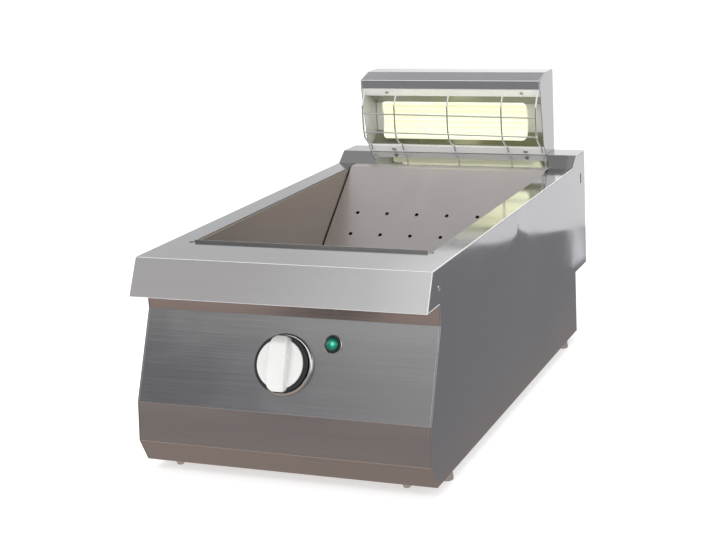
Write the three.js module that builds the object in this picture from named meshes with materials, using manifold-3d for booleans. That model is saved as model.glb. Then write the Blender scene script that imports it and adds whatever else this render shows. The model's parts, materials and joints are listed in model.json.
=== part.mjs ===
// Counter-top chip warmer: a stainless case with a deep well, a perforated drain ramp and floor, an infrared
// emitter in a hood on the rear ledge, a heat knob and a pilot lamp on the sloping control panel.
// Millimetres, +X to the right seen from the front, +Y to the back, +Z up, feet standing on z = 0.

import * as THREE from "three";
import { mergeVertices } from "three/addons/utils/BufferGeometryUtils.js";
import Module from "manifold-3d";

const wasm = await Module();
wasm.setup();

// Driving dimensions of the case
const caseWidth = 400;
const caseDepth = 730;
const deckHeight = 281;
const footHeight = 15;
const sheet = 1.5;
const thinSheet = 1;
const fit = 0.3;
const cutOverrun = 2;
const weldTolerance = 1e-4;

// Side profile of the front, from the deck down
const fasciaHeight = 46;
const fasciaLean = 23.5;
const returnDepth = 43;
const stripHeight = 26.5;
const stripUpstand = 15;
const panelLean = 47;
const plinthHeight = 51;
const plinthLean = 5;
const kickHeight = 31.5;
const kickSetback = 16;
const frontFlange = 28;

// Side profile of the rear, from the deck up and down
const ledgeRise = 16.5;
const ledgeSlant = 23.2;
const ledgeTopDepth = 48.8;
const rearBoxDepth = 68;
const rearBoxHeight = 185.5;

// Well
const wellWidth = 334;
const wellDepth = 150;
const frontDeck = 84.5;
const rearStrip = 15;
const cornerRelief = 4;
const basinFlange = 12;
const basinInset = 1.8;
const frontLip = { rise: 3.2, foot: 10, endInset: 3 };

// Drain ramp and drain floor
const rampFlange = 22;
const rampLap = 6;
const rampRun = 185;
const rampFoot = 10;
const drainSideGap = 1.5;
const drainHole = 3;
const drainPitch = 50;
const drainColumns = 6;
const rampRowPitch = 42;
const rampRows = 3;
const rampFirstRow = 95;
const floorRows = 6;
const floorRise = 14;
const floorFootGap = 10;

// Hood
const hoodWidth = 302;
const hoodHeight = 130.5;
const hoodBackInset = 2;
const hoodTopDepth = 41;
const hoodSlopeRun = 32;
const hoodSlopeDrop = 9.5;
const hoodLip = 13.5;
const cheekWaistRise = 18.5;
const cheekWaistForward = 12;
const cheekFootDepth = 48;

// Emitter
const emitterLength = 245;
const emitterHeight = 60;
const emitterThickness = 8;
const emitterSag = 9;
const emitterCentreRise = 54.5;
const emitterFaceInset = 10;

// Guard
const guardWire = 1.4;
const guardCrossWire = 1.2;
const guardPitch = 90;
const guardEndHalf = 143;

// Knob and pilot lamp, measured from the control panel's face
const knobDrop = 55.1;
const knobRadius = 36;
const knobDepth = 25;
const shaftRadius = 3;
const pilotOffset = 62.5;
const pilotDrop = 28.4;
const lensRadius = 8.5;

// Levelling feet
const footRadius = 8.5;
const footInset = 11.2;
const footFrontInset = 69.5;
const footRearInset = 47;
const studRadius = 4;
const studHeight = 45;

// Places worked out from the driving dimensions; y is counted from the middle of the case here
const halfWidth = caseWidth / 2;
const frontY = -caseDepth / 2;
const backY = caseDepth / 2;
const innerHalf = halfWidth - sheet - fit;
const fasciaTopY = frontY + fasciaLean;
const fasciaBottomZ = deckHeight - fasciaHeight;
const stripY = frontY + returnDepth;
const stripBottomZ = fasciaBottomZ - stripHeight;
const kickTopZ = footHeight + kickHeight;
const plinthTopZ = kickTopZ + plinthHeight;
const plinthTopY = stripY - panelLean;
const kickTopY = plinthTopY - plinthLean;
const kickBottomY = kickTopY + kickSetback;
const ledgeTopZ = deckHeight + ledgeRise;
const ledgeTopY = backY - ledgeTopDepth;
const ledgeFootY = ledgeTopY - ledgeSlant;
const lowerBackY = backY - rearBoxDepth;
const rearBoxZ = ledgeTopZ - rearBoxHeight;
const wellHalf = wellWidth / 2;
const basinHalf = wellHalf - basinInset;
const wellBackY = ledgeFootY - rearStrip;
const wellFrontY = fasciaTopY + frontDeck;
const wellFloorZ = deckHeight - wellDepth;
const basinTopZ = deckHeight - sheet - fit;
const hoodHalf = hoodWidth / 2;
const hoodBackY = backY - hoodBackInset;
const hoodTopZ = ledgeTopZ + hoodHeight;
const hoodBendY = hoodBackY - hoodTopDepth;
const lipY = hoodBendY - hoodSlopeRun;
const lipTopZ = hoodTopZ - hoodSlopeDrop;
const lipBottomZ = lipTopZ - hoodLip;

// Control panel: the angle of its slope and the two places on its face
const panelHeight = stripBottomZ - plinthTopZ;
const panelTilt = Math.atan2(panelLean, panelHeight);
const panelPoint = (x, drop) => (
  new THREE.Vector3(x, stripY - drop * Math.tan(panelTilt), stripBottomZ - drop)
);

const finishes = {
  steel: { color: 0xb9babc, roughness: 0.3, metalness: 1 },
  darkSteel: { color: 0x8d8e92, roughness: 0.32, metalness: 1 },
  wellSteel: { color: 0xb3aaa4, roughness: 0.38, metalness: 1 },
  chrome: { color: 0xdcdcdc, roughness: 0.12, metalness: 1 },
  ceramic: { color: 0xf2f2c4, roughness: 0.6, metalness: 0 },
  whiteEnamel: { color: 0xf4f4f2, roughness: 0.25, metalness: 0 },
  blackPlastic: { color: 0x151518, roughness: 0.4, metalness: 0 },
  greyPlastic: { color: 0x8a8a86, roughness: 0.6, metalness: 0 },
  greenLens: { color: 0x0c8a5c, roughness: 0.15, metalness: 0 },
  brass: { color: 0xc2a04a, roughness: 0.35, metalness: 1 },
  silicone: { color: 0xa8452f, roughness: 0.7, metalness: 0 },
};

const warmer = new THREE.Group();

// Adds one named piece to a group
function addPiece(name, geometry, finish, group = warmer) {
  geometry.computeVertexNormals();
  const material = new THREE.MeshStandardMaterial({ ...finishes[finish], flatShading: true });
  const mesh = new THREE.Mesh(geometry, material);
  mesh.name = name;
  group.add(mesh);
  return mesh;
}

// Leaves a geometry with shared corners and no empty triangles
function welded(geometry) {
  const source = geometry.clone();
  source.deleteAttribute("normal");
  source.deleteAttribute("uv");
  const merged = mergeVertices(source, weldTolerance);
  const index = merged.index.array;
  const kept = [];
  for (let i = 0; i < index.length; i += 3) {
    const [a, b, c] = [index[i], index[i + 1], index[i + 2]];
    if (a !== b && b !== c && c !== a) kept.push(a, b, c);
  }
  merged.setIndex(kept);
  return merged;
}

function toSolid(geometry) {
  const clean = welded(geometry);
  const vertProperties = new Float32Array(clean.attributes.position.array);
  const triVerts = new Uint32Array(clean.index.array);
  return new wasm.Manifold(new wasm.Mesh({ numProp: 3, vertProperties, triVerts }));
}

function toGeometry(solid) {
  const mesh = solid.getMesh();
  const geometry = new THREE.BufferGeometry();
  geometry.setAttribute("position", new THREE.BufferAttribute(new Float32Array(mesh.vertProperties), 3));
  geometry.setIndex(Array.from(mesh.triVerts));
  return geometry;
}

function cut(geometry, tools) {
  let solid = toSolid(geometry);
  for (const tool of tools) solid = solid.subtract(toSolid(tool));
  return toGeometry(solid);
}

function join(geometries) {
  let solid = toSolid(geometries[0]);
  for (const next of geometries.slice(1)) solid = solid.add(toSolid(next));
  return toGeometry(solid);
}

// Box between two corners
function box(low, high) {
  const size = high.map((value, i) => value - low[i]);
  const centre = high.map((value, i) => (value + low[i]) / 2);
  return new THREE.BoxGeometry(...size).translate(...centre);
}

function outlineShape(points) {
  return new THREE.Shape(points.map(([x, y]) => new THREE.Vector2(x, y)));
}

// Outline in (y, z), extruded along X
function acrossX(points, x0, x1) {
  const geometry = new THREE.ExtrudeGeometry(outlineShape(points), { depth: x1 - x0, bevelEnabled: false });
  const turn = new THREE.Matrix4().makeBasis(
    new THREE.Vector3(0, 1, 0),
    new THREE.Vector3(0, 0, 1),
    new THREE.Vector3(1, 0, 0),
  );
  return geometry.applyMatrix4(turn).translate(x0, 0, 0);
}

// Outline in (x, z), extruded along Y
function alongY(points, y0, y1) {
  const geometry = new THREE.ExtrudeGeometry(outlineShape(points), { depth: y1 - y0, bevelEnabled: false });
  return geometry.rotateX(Math.PI / 2).translate(0, y1, 0);
}

// Solid of revolution about +Z; the outline is a list of (radius, height) going up the outside
function turned(points, segments = 32) {
  const outline = points.map(([r, h]) => new THREE.Vector2(r, h));
  return new THREE.LatheGeometry(outline, segments).rotateX(Math.PI / 2);
}

// Round bar along +Z between two heights
function roundBar(radius, z0, z1, segments = 24) {
  const bar = new THREE.CylinderGeometry(radius, radius, z1 - z0, segments).rotateX(Math.PI / 2);
  return bar.translate(0, 0, (z0 + z1) / 2);
}

// The same bar laid along X, and along Y
const barAcross = (radius, x0, x1, segments) => roundBar(radius, x0, x1, segments).rotateY(Math.PI / 2);
const barBack = (radius, y0, y1, segments) => roundBar(radius, y0, y1, segments).rotateX(-Math.PI / 2);

// Hexagonal nut along +Z with a round bore
function hexNut(hexRadius, bore, z0, z1) {
  const hole = roundBar(bore, z0 - cutOverrun, z1 + cutOverrun);
  return cut(roundBar(hexRadius, z0, z1, 6), [hole]);
}

// Moves an open line of points sideways by a distance, with mitred corners; plus is to the left of its way
function offsetLine(points, distance) {
  const ways = points.slice(1).map(([x, y], i) => {
    const length = Math.hypot(x - points[i][0], y - points[i][1]);
    return [(x - points[i][0]) / length, (y - points[i][1]) / length];
  });
  return points.map(([x, y], i) => {
    const before = ways[Math.max(i - 1, 0)];
    const after = ways[Math.min(i, ways.length - 1)];
    const sum = [-(before[1] + after[1]), before[0] + after[0]];
    const scale = distance / (1 + before[0] * after[0] + before[1] * after[1]);
    return [x + sum[0] * scale, y + sum[1] * scale];
  });
}

// Closed outline of a folded sheet whose outer face follows the points; the thickness lies to their left
function foldedSheet(points, thickness) {
  return [...points, ...offsetLine(points, thickness).reverse()];
}

// Tube along a smooth curve through points, with flat ends
function tubeAlong(points, radius, steps, sides) {
  const curve = new THREE.CatmullRomCurve3(points.map((p) => new THREE.Vector3(...p)), false, "centripetal");
  const ring = [];
  for (let i = 0; i < sides; i += 1) {
    const angle = (i / sides) * 2 * Math.PI;
    ring.push([radius * Math.cos(angle), radius * Math.sin(angle)]);
  }
  return new THREE.ExtrudeGeometry(outlineShape(ring), { steps, extrudePath: curve, bevelEnabled: false });
}

// Outer lines of the sheets that make the side profile, as (y, z)
const worktopLine = [
  [stripY - fit, fasciaBottomZ],
  [frontY, fasciaBottomZ],
  [fasciaTopY, deckHeight],
  [ledgeFootY - fit, deckHeight],
];
const ledgeLine = [
  [ledgeFootY, deckHeight],
  [ledgeTopY, ledgeTopZ],
  [backY, ledgeTopZ],
];
const frontLine = [
  [kickBottomY + frontFlange, footHeight],
  [kickBottomY, footHeight],
  [kickTopY, kickTopZ],
  [plinthTopY, plinthTopZ],
  [stripY, stripBottomZ],
  [stripY, fasciaBottomZ + stripUpstand],
];

// Worktop: bottom return, leaning fascia and deck in one folded sheet, with the well cut out
function makeWorktop() {
  const folded = acrossX(foldedSheet(worktopLine, -sheet), -halfWidth, halfWidth);
  const low = deckHeight - sheet - cutOverrun;
  const high = deckHeight + cutOverrun;
  const tools = [box([-wellHalf, wellFrontY, low], [wellHalf, wellBackY, high])];
  for (const x of [-wellHalf, wellHalf]) {
    for (const y of [wellFrontY, wellBackY]) {
      tools.push(roundBar(cornerRelief, low, high, 12).translate(x, y, 0));
    }
  }
  addPiece("worktop", cut(folded, tools), "steel");
}

// Rear ledge: slanting face and flat top, with the hole of the hood's conduit
const conduit = { x: 112, radius: 7.5, bore: 5.5, flange: 9.5, flangeThickness: 3, below: 14, backInset: 11 };
const conduitY = hoodBackY - conduit.backInset;

function makeRearLedge() {
  const folded = acrossX(foldedSheet(ledgeLine, -sheet), -halfWidth, halfWidth);
  const hole = roundBar(conduit.radius + fit, ledgeTopZ - sheet - cutOverrun, ledgeTopZ + cutOverrun);
  addPiece("rear_ledge", cut(folded, [hole.translate(conduit.x, conduitY, 0)]), "steel");
}

// Side panels: one plate each, with the holes that join it to the next module
const sideHoles = {
  radius: 4, drop: 25, firstInset: 42, middle: -3, slotInset: 25, slotHalfHeight: 8, slotHalf: 2.5,
};

function makeSidePanel(name, outerX, side) {
  const gap = sheet + fit;
  const underTop = offsetLine(worktopLine, -gap);
  const underLedge = offsetLine(ledgeLine, -gap);
  const outline = [
    [stripY, underTop[0][1]],
    underTop[1],
    underTop[2],
    [underLedge[0][0], underTop[3][1]],
    underLedge[1],
    [backY, underLedge[2][1]],
    [backY, rearBoxZ],
    [lowerBackY, rearBoxZ],
    [lowerBackY, footHeight],
    [kickBottomY, footHeight],
    [kickTopY, kickTopZ],
    [plinthTopY, plinthTopZ],
    [stripY, stripBottomZ],
  ];
  const inner = outerX - side * sheet;
  const x0 = Math.min(outerX, inner);
  const x1 = Math.max(outerX, inner);
  const holeZ = deckHeight - sideHoles.drop;
  const tools = [frontY + sideHoles.firstInset, sideHoles.middle].map((y) => (
    barAcross(sideHoles.radius, x0 - cutOverrun, x1 + cutOverrun, 16).translate(0, y, holeZ)
  ));
  const slotY = backY - sideHoles.slotInset;
  tools.push(box(
    [x0 - cutOverrun, slotY - sideHoles.slotHalf, holeZ - sideHoles.slotHalfHeight],
    [x1 + cutOverrun, slotY + sideHoles.slotHalf, holeZ + sideHoles.slotHalfHeight],
  ));
  addPiece(name, cut(acrossX(outline, x0, x1), tools), "steel");
}

// Front panel: strip, sloping control panel, plinth, chamfer and bottom flange in one folded sheet
const panelHole = { knob: 8, pilot: 7 };
const plinthScrew = {
  sideInset: 43, inset: 8, head: 5.5, headHeight: 6.2, shank: 2.4, hole: 2.9, length: 9,
};
const plinthScrewY = kickBottomY + plinthScrew.inset;
const plinthScrewX = halfWidth - plinthScrew.sideInset;

// A geometry made about the control panel's normal, +Z outwards and +Y up its slope, set on its face
function onPanel(geometry, x, drop) {
  const point = panelPoint(x, drop);
  return geometry.rotateX(Math.PI / 2 - panelTilt).translate(point.x, point.y, point.z);
}

function makeFrontPanel() {
  const folded = acrossX(foldedSheet(frontLine, -sheet), -innerHalf, innerHalf);
  const through = [-sheet - cutOverrun, cutOverrun];
  const tools = [
    onPanel(roundBar(panelHole.knob, ...through), 0, knobDrop),
    onPanel(roundBar(panelHole.pilot, ...through), pilotOffset, pilotDrop),
  ];
  for (const x of [-plinthScrewX, plinthScrewX]) {
    const hole = roundBar(plinthScrew.hole, footHeight - cutOverrun, footHeight + sheet + cutOverrun, 12);
    tools.push(hole.translate(x, plinthScrewY, 0));
  }
  addPiece("front_panel", cut(folded, tools), "darkSteel");
}

function makePlinthScrew(name, x) {
  const headTop = footHeight - fit;
  const headLow = headTop - plinthScrew.headHeight;
  const edge = plinthScrew.headHeight / 3;
  const outline = [
    [0, headLow],
    [plinthScrew.head - edge, headLow],
    [plinthScrew.head, headLow + edge],
    [plinthScrew.head, headTop],
    [plinthScrew.shank, headTop],
    [plinthScrew.shank, headTop + plinthScrew.length],
    [0, headTop + plinthScrew.length],
  ];
  addPiece(name, turned(outline, 16).translate(x, plinthScrewY, 0), "chrome");
}

// Base: a tray with upturned sides, holes for the feet and vent slots
const base = { sideHeight: 22, holeGap: 0.6, ventLength: 120, ventWidth: 7, ventPitch: 45, ventRows: 5 };
const baseFrontY = kickBottomY + frontFlange + fit;
const baseBackY = lowerBackY - sheet - fit;
const baseTopZ = footHeight + sheet;
const footX = halfWidth - footInset;
const footPlaces = {
  front_left: [-footX, frontY + footFrontInset],
  front_right: [footX, frontY + footFrontInset],
  rear_left: [-footX, lowerBackY - footRearInset],
  rear_right: [footX, lowerBackY - footRearInset],
};

function makeBaseTray() {
  const line = [
    [-innerHalf, footHeight + base.sideHeight],
    [-innerHalf, footHeight],
    [innerHalf, footHeight],
    [innerHalf, footHeight + base.sideHeight],
  ];
  const tray = alongY(foldedSheet(line, sheet), baseFrontY, baseBackY);
  const low = footHeight - cutOverrun;
  const high = baseTopZ + cutOverrun;
  const tools = Object.values(footPlaces).map(([x, y]) => (
    roundBar(studRadius + base.holeGap, low, high, 16).translate(x, y, 0)
  ));
  const middleY = (baseFrontY + baseBackY) / 2;
  for (let i = 0; i < base.ventRows; i += 1) {
    const y = middleY + (i - (base.ventRows - 1) / 2) * base.ventPitch;
    tools.push(box(
      [-base.ventLength / 2, y - base.ventWidth / 2, low],
      [base.ventLength / 2, y + base.ventWidth / 2, high],
    ));
  }
  addPiece("base_tray", cut(tray, tools), "steel");
}

// Lower back panel with the holes of the cable gland and the earth stud
const gland = {
  sideInset: 80, z: 62, thread: 8, hole: 8.3, hex: 12, hexDepth: 6, dome: 9, domeDepth: 14, bore: 4.5,
};
const glandNut = { hex: 11.5, depth: 5 };
const earth = { sideInset: 138, z: 50, radius: 3, hex: 5.5, hexDepth: 4, outside: 16, inside: 12 };
const glandX = gland.sideInset - halfWidth;
const earthX = earth.sideInset - halfWidth;

function makeLowerBackPanel() {
  const plate = box([-innerHalf, lowerBackY - sheet, footHeight], [innerHalf, lowerBackY, rearBoxZ - fit]);
  const y0 = lowerBackY - sheet - cutOverrun;
  const y1 = lowerBackY + cutOverrun;
  addPiece("lower_back_panel", cut(plate, [
    barBack(gland.hole, y0, y1).translate(glandX, 0, gland.z),
    barBack(earth.radius + fit, y0, y1, 16).translate(earthX, 0, earth.z),
  ]), "steel");
}

// Rear box cover: floor of the overhang and back wall in one sheet
function makeRearBoxCover() {
  const line = [
    [lowerBackY - sheet, rearBoxZ],
    [backY, rearBoxZ],
    [backY, ledgeTopZ - sheet - fit],
  ];
  addPiece("rear_box_cover", acrossX(foldedSheet(line, sheet), -innerHalf, innerHalf), "steel");
}

// Basin: an open box hung by a flange under the deck, with a low lip that stands up along its front edge
const lipBackY = wellFrontY + fit + thinSheet;

function makeBasin() {
  const wall = thinSheet;
  const outer = box(
    [-basinHalf - wall, wellFrontY - wall, wellFloorZ - wall],
    [basinHalf + wall, wellBackY + wall, basinTopZ],
  );
  const flangeBack = Math.min(basinFlange, rearStrip - wall);
  const flange = box(
    [-wellHalf - basinFlange, wellFrontY - basinFlange, basinTopZ - wall],
    [wellHalf + basinFlange, wellBackY + flangeBack, basinTopZ],
  );
  const hollow = box([-basinHalf, wellFrontY, wellFloorZ], [basinHalf, wellBackY, basinTopZ + cutOverrun]);
  const pan = cut(join([outer, flange]), [hollow]);
  const lipHalf = basinHalf - frontLip.endInset;
  const lipFootZ = basinTopZ - frontLip.foot;
  const lip = box([-lipHalf, wellFrontY + fit, lipFootZ], [lipHalf, lipBackY, deckHeight + frontLip.rise]);
  const seamTopZ = basinTopZ - frontLip.foot / 2;
  const seam = box([-lipHalf, wellFrontY - wall, lipFootZ], [lipHalf, lipBackY, seamTopZ]);
  addPiece("basin", join([pan, seam, lip]), "wellSteel");
}

// Drain ramp: rear flange lapped on the deck, perforated slope, foot flange on the basin's floor
const rampTopZ = deckHeight + fit + thinSheet;
const rampBendY = wellBackY + rampLap - rampFlange;
const rampFootZ = wellFloorZ + fit + thinSheet;
const rampFootY = rampBendY - rampRun;
const rampWay = new THREE.Vector2(-rampRun, rampFootZ - rampTopZ).normalize();
const rampHalf = basinHalf - drainSideGap;
const columnX = (i) => (i - (drainColumns - 1) / 2) * drainPitch;

function makeDrainRamp() {
  const line = [
    [rampFootY - rampFoot, rampFootZ],
    [rampFootY, rampFootZ],
    [rampBendY, rampTopZ],
    [wellBackY + rampLap, rampTopZ],
  ];
  const folded = acrossX(foldedSheet(line, -thinSheet), -rampHalf, rampHalf);
  const slope = Math.atan2(rampTopZ - rampFootZ, rampRun);
  const tools = [];
  for (let row = 0; row < rampRows; row += 1) {
    const along = rampFirstRow + row * rampRowPitch;
    for (let column = 0; column < drainColumns; column += 1) {
      const hole = roundBar(drainHole, -thinSheet - cutOverrun, cutOverrun, 6).rotateX(slope);
      const y = rampBendY + along * rampWay.x;
      tools.push(hole.translate(columnX(column), y, rampTopZ + along * rampWay.y));
    }
  }
  addPiece("drain_ramp", cut(folded, tools), "wellSteel");
}

// Drain floor: a perforated plate standing on its two folded sides, in front of the ramp's foot
function makeDrainFloor() {
  const half = basinHalf - drainSideGap;
  const topZ = wellFloorZ + floorRise;
  const line = [
    [-half, wellFloorZ + fit],
    [-half, topZ],
    [half, topZ],
    [half, wellFloorZ + fit],
  ];
  const y0 = lipBackY + drainSideGap;
  const y1 = rampFootY - rampFoot - floorFootGap;
  const folded = alongY(foldedSheet(line, -thinSheet), y0, y1);
  const tools = [];
  for (let row = 0; row < floorRows; row += 1) {
    const y = y0 + (y1 - y0) * (row + 0.5) / floorRows;
    for (let column = 0; column < drainColumns; column += 1) {
      const hole = roundBar(drainHole, topZ - thinSheet - cutOverrun, topZ + cutOverrun, 6);
      tools.push(hole.translate(columnX(column), y, 0));
    }
  }
  addPiece("drain_floor", cut(folded, tools), "wellSteel");
}

// Heater under the basin, its clamp plate and the limit thermostat
const heater = { width: 290, thickness: 3, frontMargin: 47, backMargin: 108 };
const heaterFrontY = wellFrontY + heater.frontMargin;
const heaterBackY = wellBackY - heater.backMargin;
const heaterY = (heaterFrontY + heaterBackY) / 2;
const clampPlate = { margin: 12, lip: 8 };
const thermostat = { x: 60, radius: 12, height: 10, rim: 15, rimHeight: 2 };
const heaterTopZ = wellFloorZ - thinSheet - fit;
const clampTopZ = heaterTopZ - heater.thickness - fit;

function makeBasinHeater() {
  addPiece("basin_heater", box(
    [-heater.width / 2, heaterFrontY, heaterTopZ - heater.thickness],
    [heater.width / 2, heaterBackY, heaterTopZ],
  ), "silicone");
  const half = heater.width / 2 + clampPlate.margin;
  const line = [
    [-half, clampTopZ - clampPlate.lip],
    [-half, clampTopZ],
    [half, clampTopZ],
    [half, clampTopZ - clampPlate.lip],
  ];
  const plateFrontY = heaterFrontY - clampPlate.margin;
  const plateBackY = heaterBackY + clampPlate.margin;
  const plate = alongY(foldedSheet(line, -thinSheet), plateFrontY, plateBackY);
  addPiece("heater_clamp_plate", plate, "steel");
  const topZ = clampTopZ - thinSheet - fit;
  addPiece("limit_thermostat", turned([
    [0, topZ - thermostat.height],
    [thermostat.radius, topZ - thermostat.height],
    [thermostat.radius, topZ - thermostat.rimHeight],
    [thermostat.rim, topZ - thermostat.rimHeight],
    [thermostat.rim, topZ],
    [0, topZ],
  ], 24).translate(thermostat.x, heaterY, 0), "greyPlastic");
}

// Hood: folded shell between two cheeks, standing on the rear ledge
const hoodInner = hoodHalf - thinSheet - fit;
const hoodFootZ = ledgeTopZ + fit;
const cheekFrontY = hoodBackY - cheekFootDepth;
const hoodLine = [
  [lipY, lipBottomZ],
  [lipY, lipTopZ],
  [hoodBendY, hoodTopZ],
  [hoodBackY, hoodTopZ],
  [hoodBackY, hoodFootZ],
];

function makeHood() {
  addPiece("hood_shell", acrossX(foldedSheet(hoodLine, -thinSheet), -hoodInner, hoodInner), "darkSteel");
  const cheek = [
    ...hoodLine,
    [cheekFrontY, hoodFootZ],
    [cheekFrontY - cheekWaistForward, hoodFootZ + cheekWaistRise],
  ];
  addPiece("hood_cheek_left", acrossX(cheek, -hoodHalf, -hoodHalf + thinSheet), "steel");
  addPiece("hood_cheek_right", acrossX(cheek, hoodHalf - thinSheet, hoodHalf), "steel");
}

// Rails that carry the guard: one hooked behind the lip, one on the ledge
const upperRail = { hook: 11, drop: 12, run: 12, flange: 9 };
const lowerRail = { height: 11.5, lean: 7, flange: 14 };
const upperRailY = lipY + thinSheet + fit;
const upperRailZ = lipBottomZ - thinSheet;
const upperShelfZ = upperRailZ - upperRail.drop;
const upperShelfY = upperRailY + upperRail.run;
const lowerRailTopZ = hoodFootZ + lowerRail.height;
const lowerRailY = cheekFrontY - lowerRail.lean;

function makeRails() {
  const upper = [
    [upperRailY, upperRailZ + upperRail.hook],
    [upperRailY, upperRailZ],
    [upperShelfY, upperShelfZ],
    [upperShelfY + upperRail.flange, upperShelfZ],
  ];
  addPiece("guard_upper_rail", acrossX(foldedSheet(upper, thinSheet), -hoodInner, hoodInner), "chrome");
  const lower = [
    [lowerRailY + lowerRail.lean, hoodFootZ],
    [lowerRailY, lowerRailTopZ],
    [lowerRailY + lowerRail.flange, lowerRailTopZ],
  ];
  addPiece("guard_lower_rail", acrossX(foldedSheet(lower, -thinSheet), -hoodInner, hoodInner), "steel");
}

// Reflector: a polished trough with a slot for the emitter's neck
const reflector = { backInset: 17, backTop: 22, backLow: 24, lipTop: 9, lipLow: 9, slotGap: 1.5, shelf: 6 };
const neck = { halfWidth: 20, halfHeight: 6.5, depth: 36 };
const emitterZ = ledgeTopZ + emitterCentreRise;
const emitterFaceY = lipY + emitterFaceInset;
const reflectorBackY = hoodBackY - reflector.backInset;
const reflectorTopZ = upperShelfZ - fit;
const reflectorLowZ = lowerRailTopZ + fit + thinSheet;

function makeReflector() {
  const line = [
    [upperShelfY + reflector.shelf - fit, reflectorTopZ - thinSheet],
    [upperShelfY + reflector.shelf + reflector.lipTop, reflectorTopZ - thinSheet],
    [reflectorBackY, emitterZ + reflector.backTop],
    [reflectorBackY, emitterZ - reflector.backLow],
    [lowerRailY + lowerRail.flange, reflectorLowZ],
    [lowerRailY + lowerRail.flange - reflector.lipLow, reflectorLowZ],
  ];
  const folded = acrossX(foldedSheet(line, thinSheet), -hoodInner + fit, hoodInner - fit);
  const slotHalf = neck.halfWidth + reflector.slotGap;
  const slotHigh = neck.halfHeight + reflector.slotGap;
  const slot = box(
    [-slotHalf, reflectorBackY - cutOverrun, emitterZ - slotHigh],
    [slotHalf, reflectorBackY + cutOverrun, emitterZ + slotHigh],
  );
  addPiece("reflector", cut(folded, [slot]), "chrome");
}

// Emitter: a trough of ceramic, hollow side to the front, with its neck through the reflector
function arcPoints(halfChord, sag, y, count) {
  const radius = (halfChord * halfChord + sag * sag) / (2 * sag);
  const reach = Math.asin(halfChord / radius);
  return Array.from({ length: count + 1 }, (_, i) => {
    const angle = -reach + (2 * reach * i) / count;
    return [y + radius * Math.cos(angle) - (radius - sag), radius * Math.sin(angle)];
  });
}

function makeEmitter() {
  const half = emitterHeight / 2;
  const front = arcPoints(half, emitterSag, emitterFaceY, 8);
  const back = arcPoints(half, emitterSag, emitterFaceY + emitterThickness, 8).reverse();
  const section = [...front, ...back].map(([y, z]) => [y, z + emitterZ]);
  const trough = acrossX(section, -emitterLength / 2, emitterLength / 2);
  const neckFront = emitterFaceY + emitterSag + emitterThickness / 2;
  const neckPiece = box(
    [-neck.halfWidth, neckFront, emitterZ - neck.halfHeight],
    [neck.halfWidth, neckFront + neck.depth, emitterZ + neck.halfHeight],
  );
  addPiece("ceramic_emitter", join([trough, neckPiece]), "ceramic");
}

// Clip behind the reflector that holds the emitter's neck, and the terminal block beside it
const clip = { halfWidth: 34, halfHeight: 16, thickness: 2 };
const hoodBlock = { x: conduit.x, width: 34, height: 20, depth: 9 };
const behindReflectorY = reflectorBackY + thinSheet + fit;

function makeEmitterFixings() {
  const plate = box(
    [-clip.halfWidth, behindReflectorY, emitterZ - clip.halfHeight],
    [clip.halfWidth, behindReflectorY + clip.thickness, emitterZ + clip.halfHeight],
  );
  const window = box(
    [-neck.halfWidth - fit, behindReflectorY - cutOverrun, emitterZ - neck.halfHeight - fit],
    [neck.halfWidth + fit, behindReflectorY + clip.thickness + cutOverrun, emitterZ + neck.halfHeight + fit],
  );
  addPiece("emitter_clip", cut(plate, [window]), "steel");
  addPiece("emitter_terminal_block", box(
    [hoodBlock.x - hoodBlock.width / 2, behindReflectorY, emitterZ - hoodBlock.height / 2],
    [hoodBlock.x + hoodBlock.width / 2, behindReflectorY + hoodBlock.depth, emitterZ + hoodBlock.height / 2],
  ), "whiteEnamel");
}

// Guard: bowed wires hooked on the two rails, crossed by two straight wires, welded into one
const guard = { front: 13, knee: 7, shoulder: 10, foot: 16, crossHigh: 10, crossLow: 20, standOff: 0.5 };
const bowY = lipY - guard.front;

function guardPath() {
  const reach = guardWire + fit + guard.standOff;
  const railSlope = Math.SQRT1_2;
  const top = [
    upperRailY + upperRail.run / 2 - reach * railSlope,
    upperRailZ - upperRail.drop / 2 - reach * railSlope,
  ];
  const footZ = lowerRailTopZ + guardWire + fit;
  return [
    top,
    [(top[0] + bowY) / 2, top[1] - guard.knee / 2],
    [bowY, top[1] - guard.knee - guard.shoulder],
    [bowY, emitterZ + guard.crossHigh],
    [bowY, emitterZ - guard.crossHigh],
    [bowY + guard.standOff * guard.knee, footZ + guard.foot],
    [(bowY + lowerRailY) / 2, footZ + guard.foot / 3],
    [lowerRailY + guardWire, footZ],
  ];
}

function makeWireGuard() {
  const path = guardPath();
  const wires = [-guardEndHalf, -guardPitch, 0, guardPitch, guardEndHalf].map((x) => (
    tubeAlong(path.map(([y, z]) => [x, y, z]), guardWire, 14, 6)
  ));
  const crossY = bowY + guardWire;
  const crossHalf = guardEndHalf + guardWire;
  const crossZs = [emitterZ + guard.crossHigh, emitterZ - guard.crossLow];
  for (const z of crossZs) {
    wires.push(barAcross(guardCrossWire, -crossHalf, crossHalf, 6).translate(0, crossY, z));
  }
  addPiece("wire_guard", join(wires), "chrome");
}

// Conduit from the hood through the ledge, with a flange on the ledge
function makeConduit() {
  const foot = hoodFootZ;
  addPiece("hood_conduit", turned([
    [conduit.bore, foot - conduit.below],
    [conduit.radius, foot - conduit.below],
    [conduit.radius, foot],
    [conduit.flange, foot],
    [conduit.flange, foot + conduit.flangeThickness],
    [conduit.bore, foot + conduit.flangeThickness],
    [conduit.bore, foot - conduit.below],
  ], 24).translate(conduit.x, conduitY, 0), "brass");
}

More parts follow.
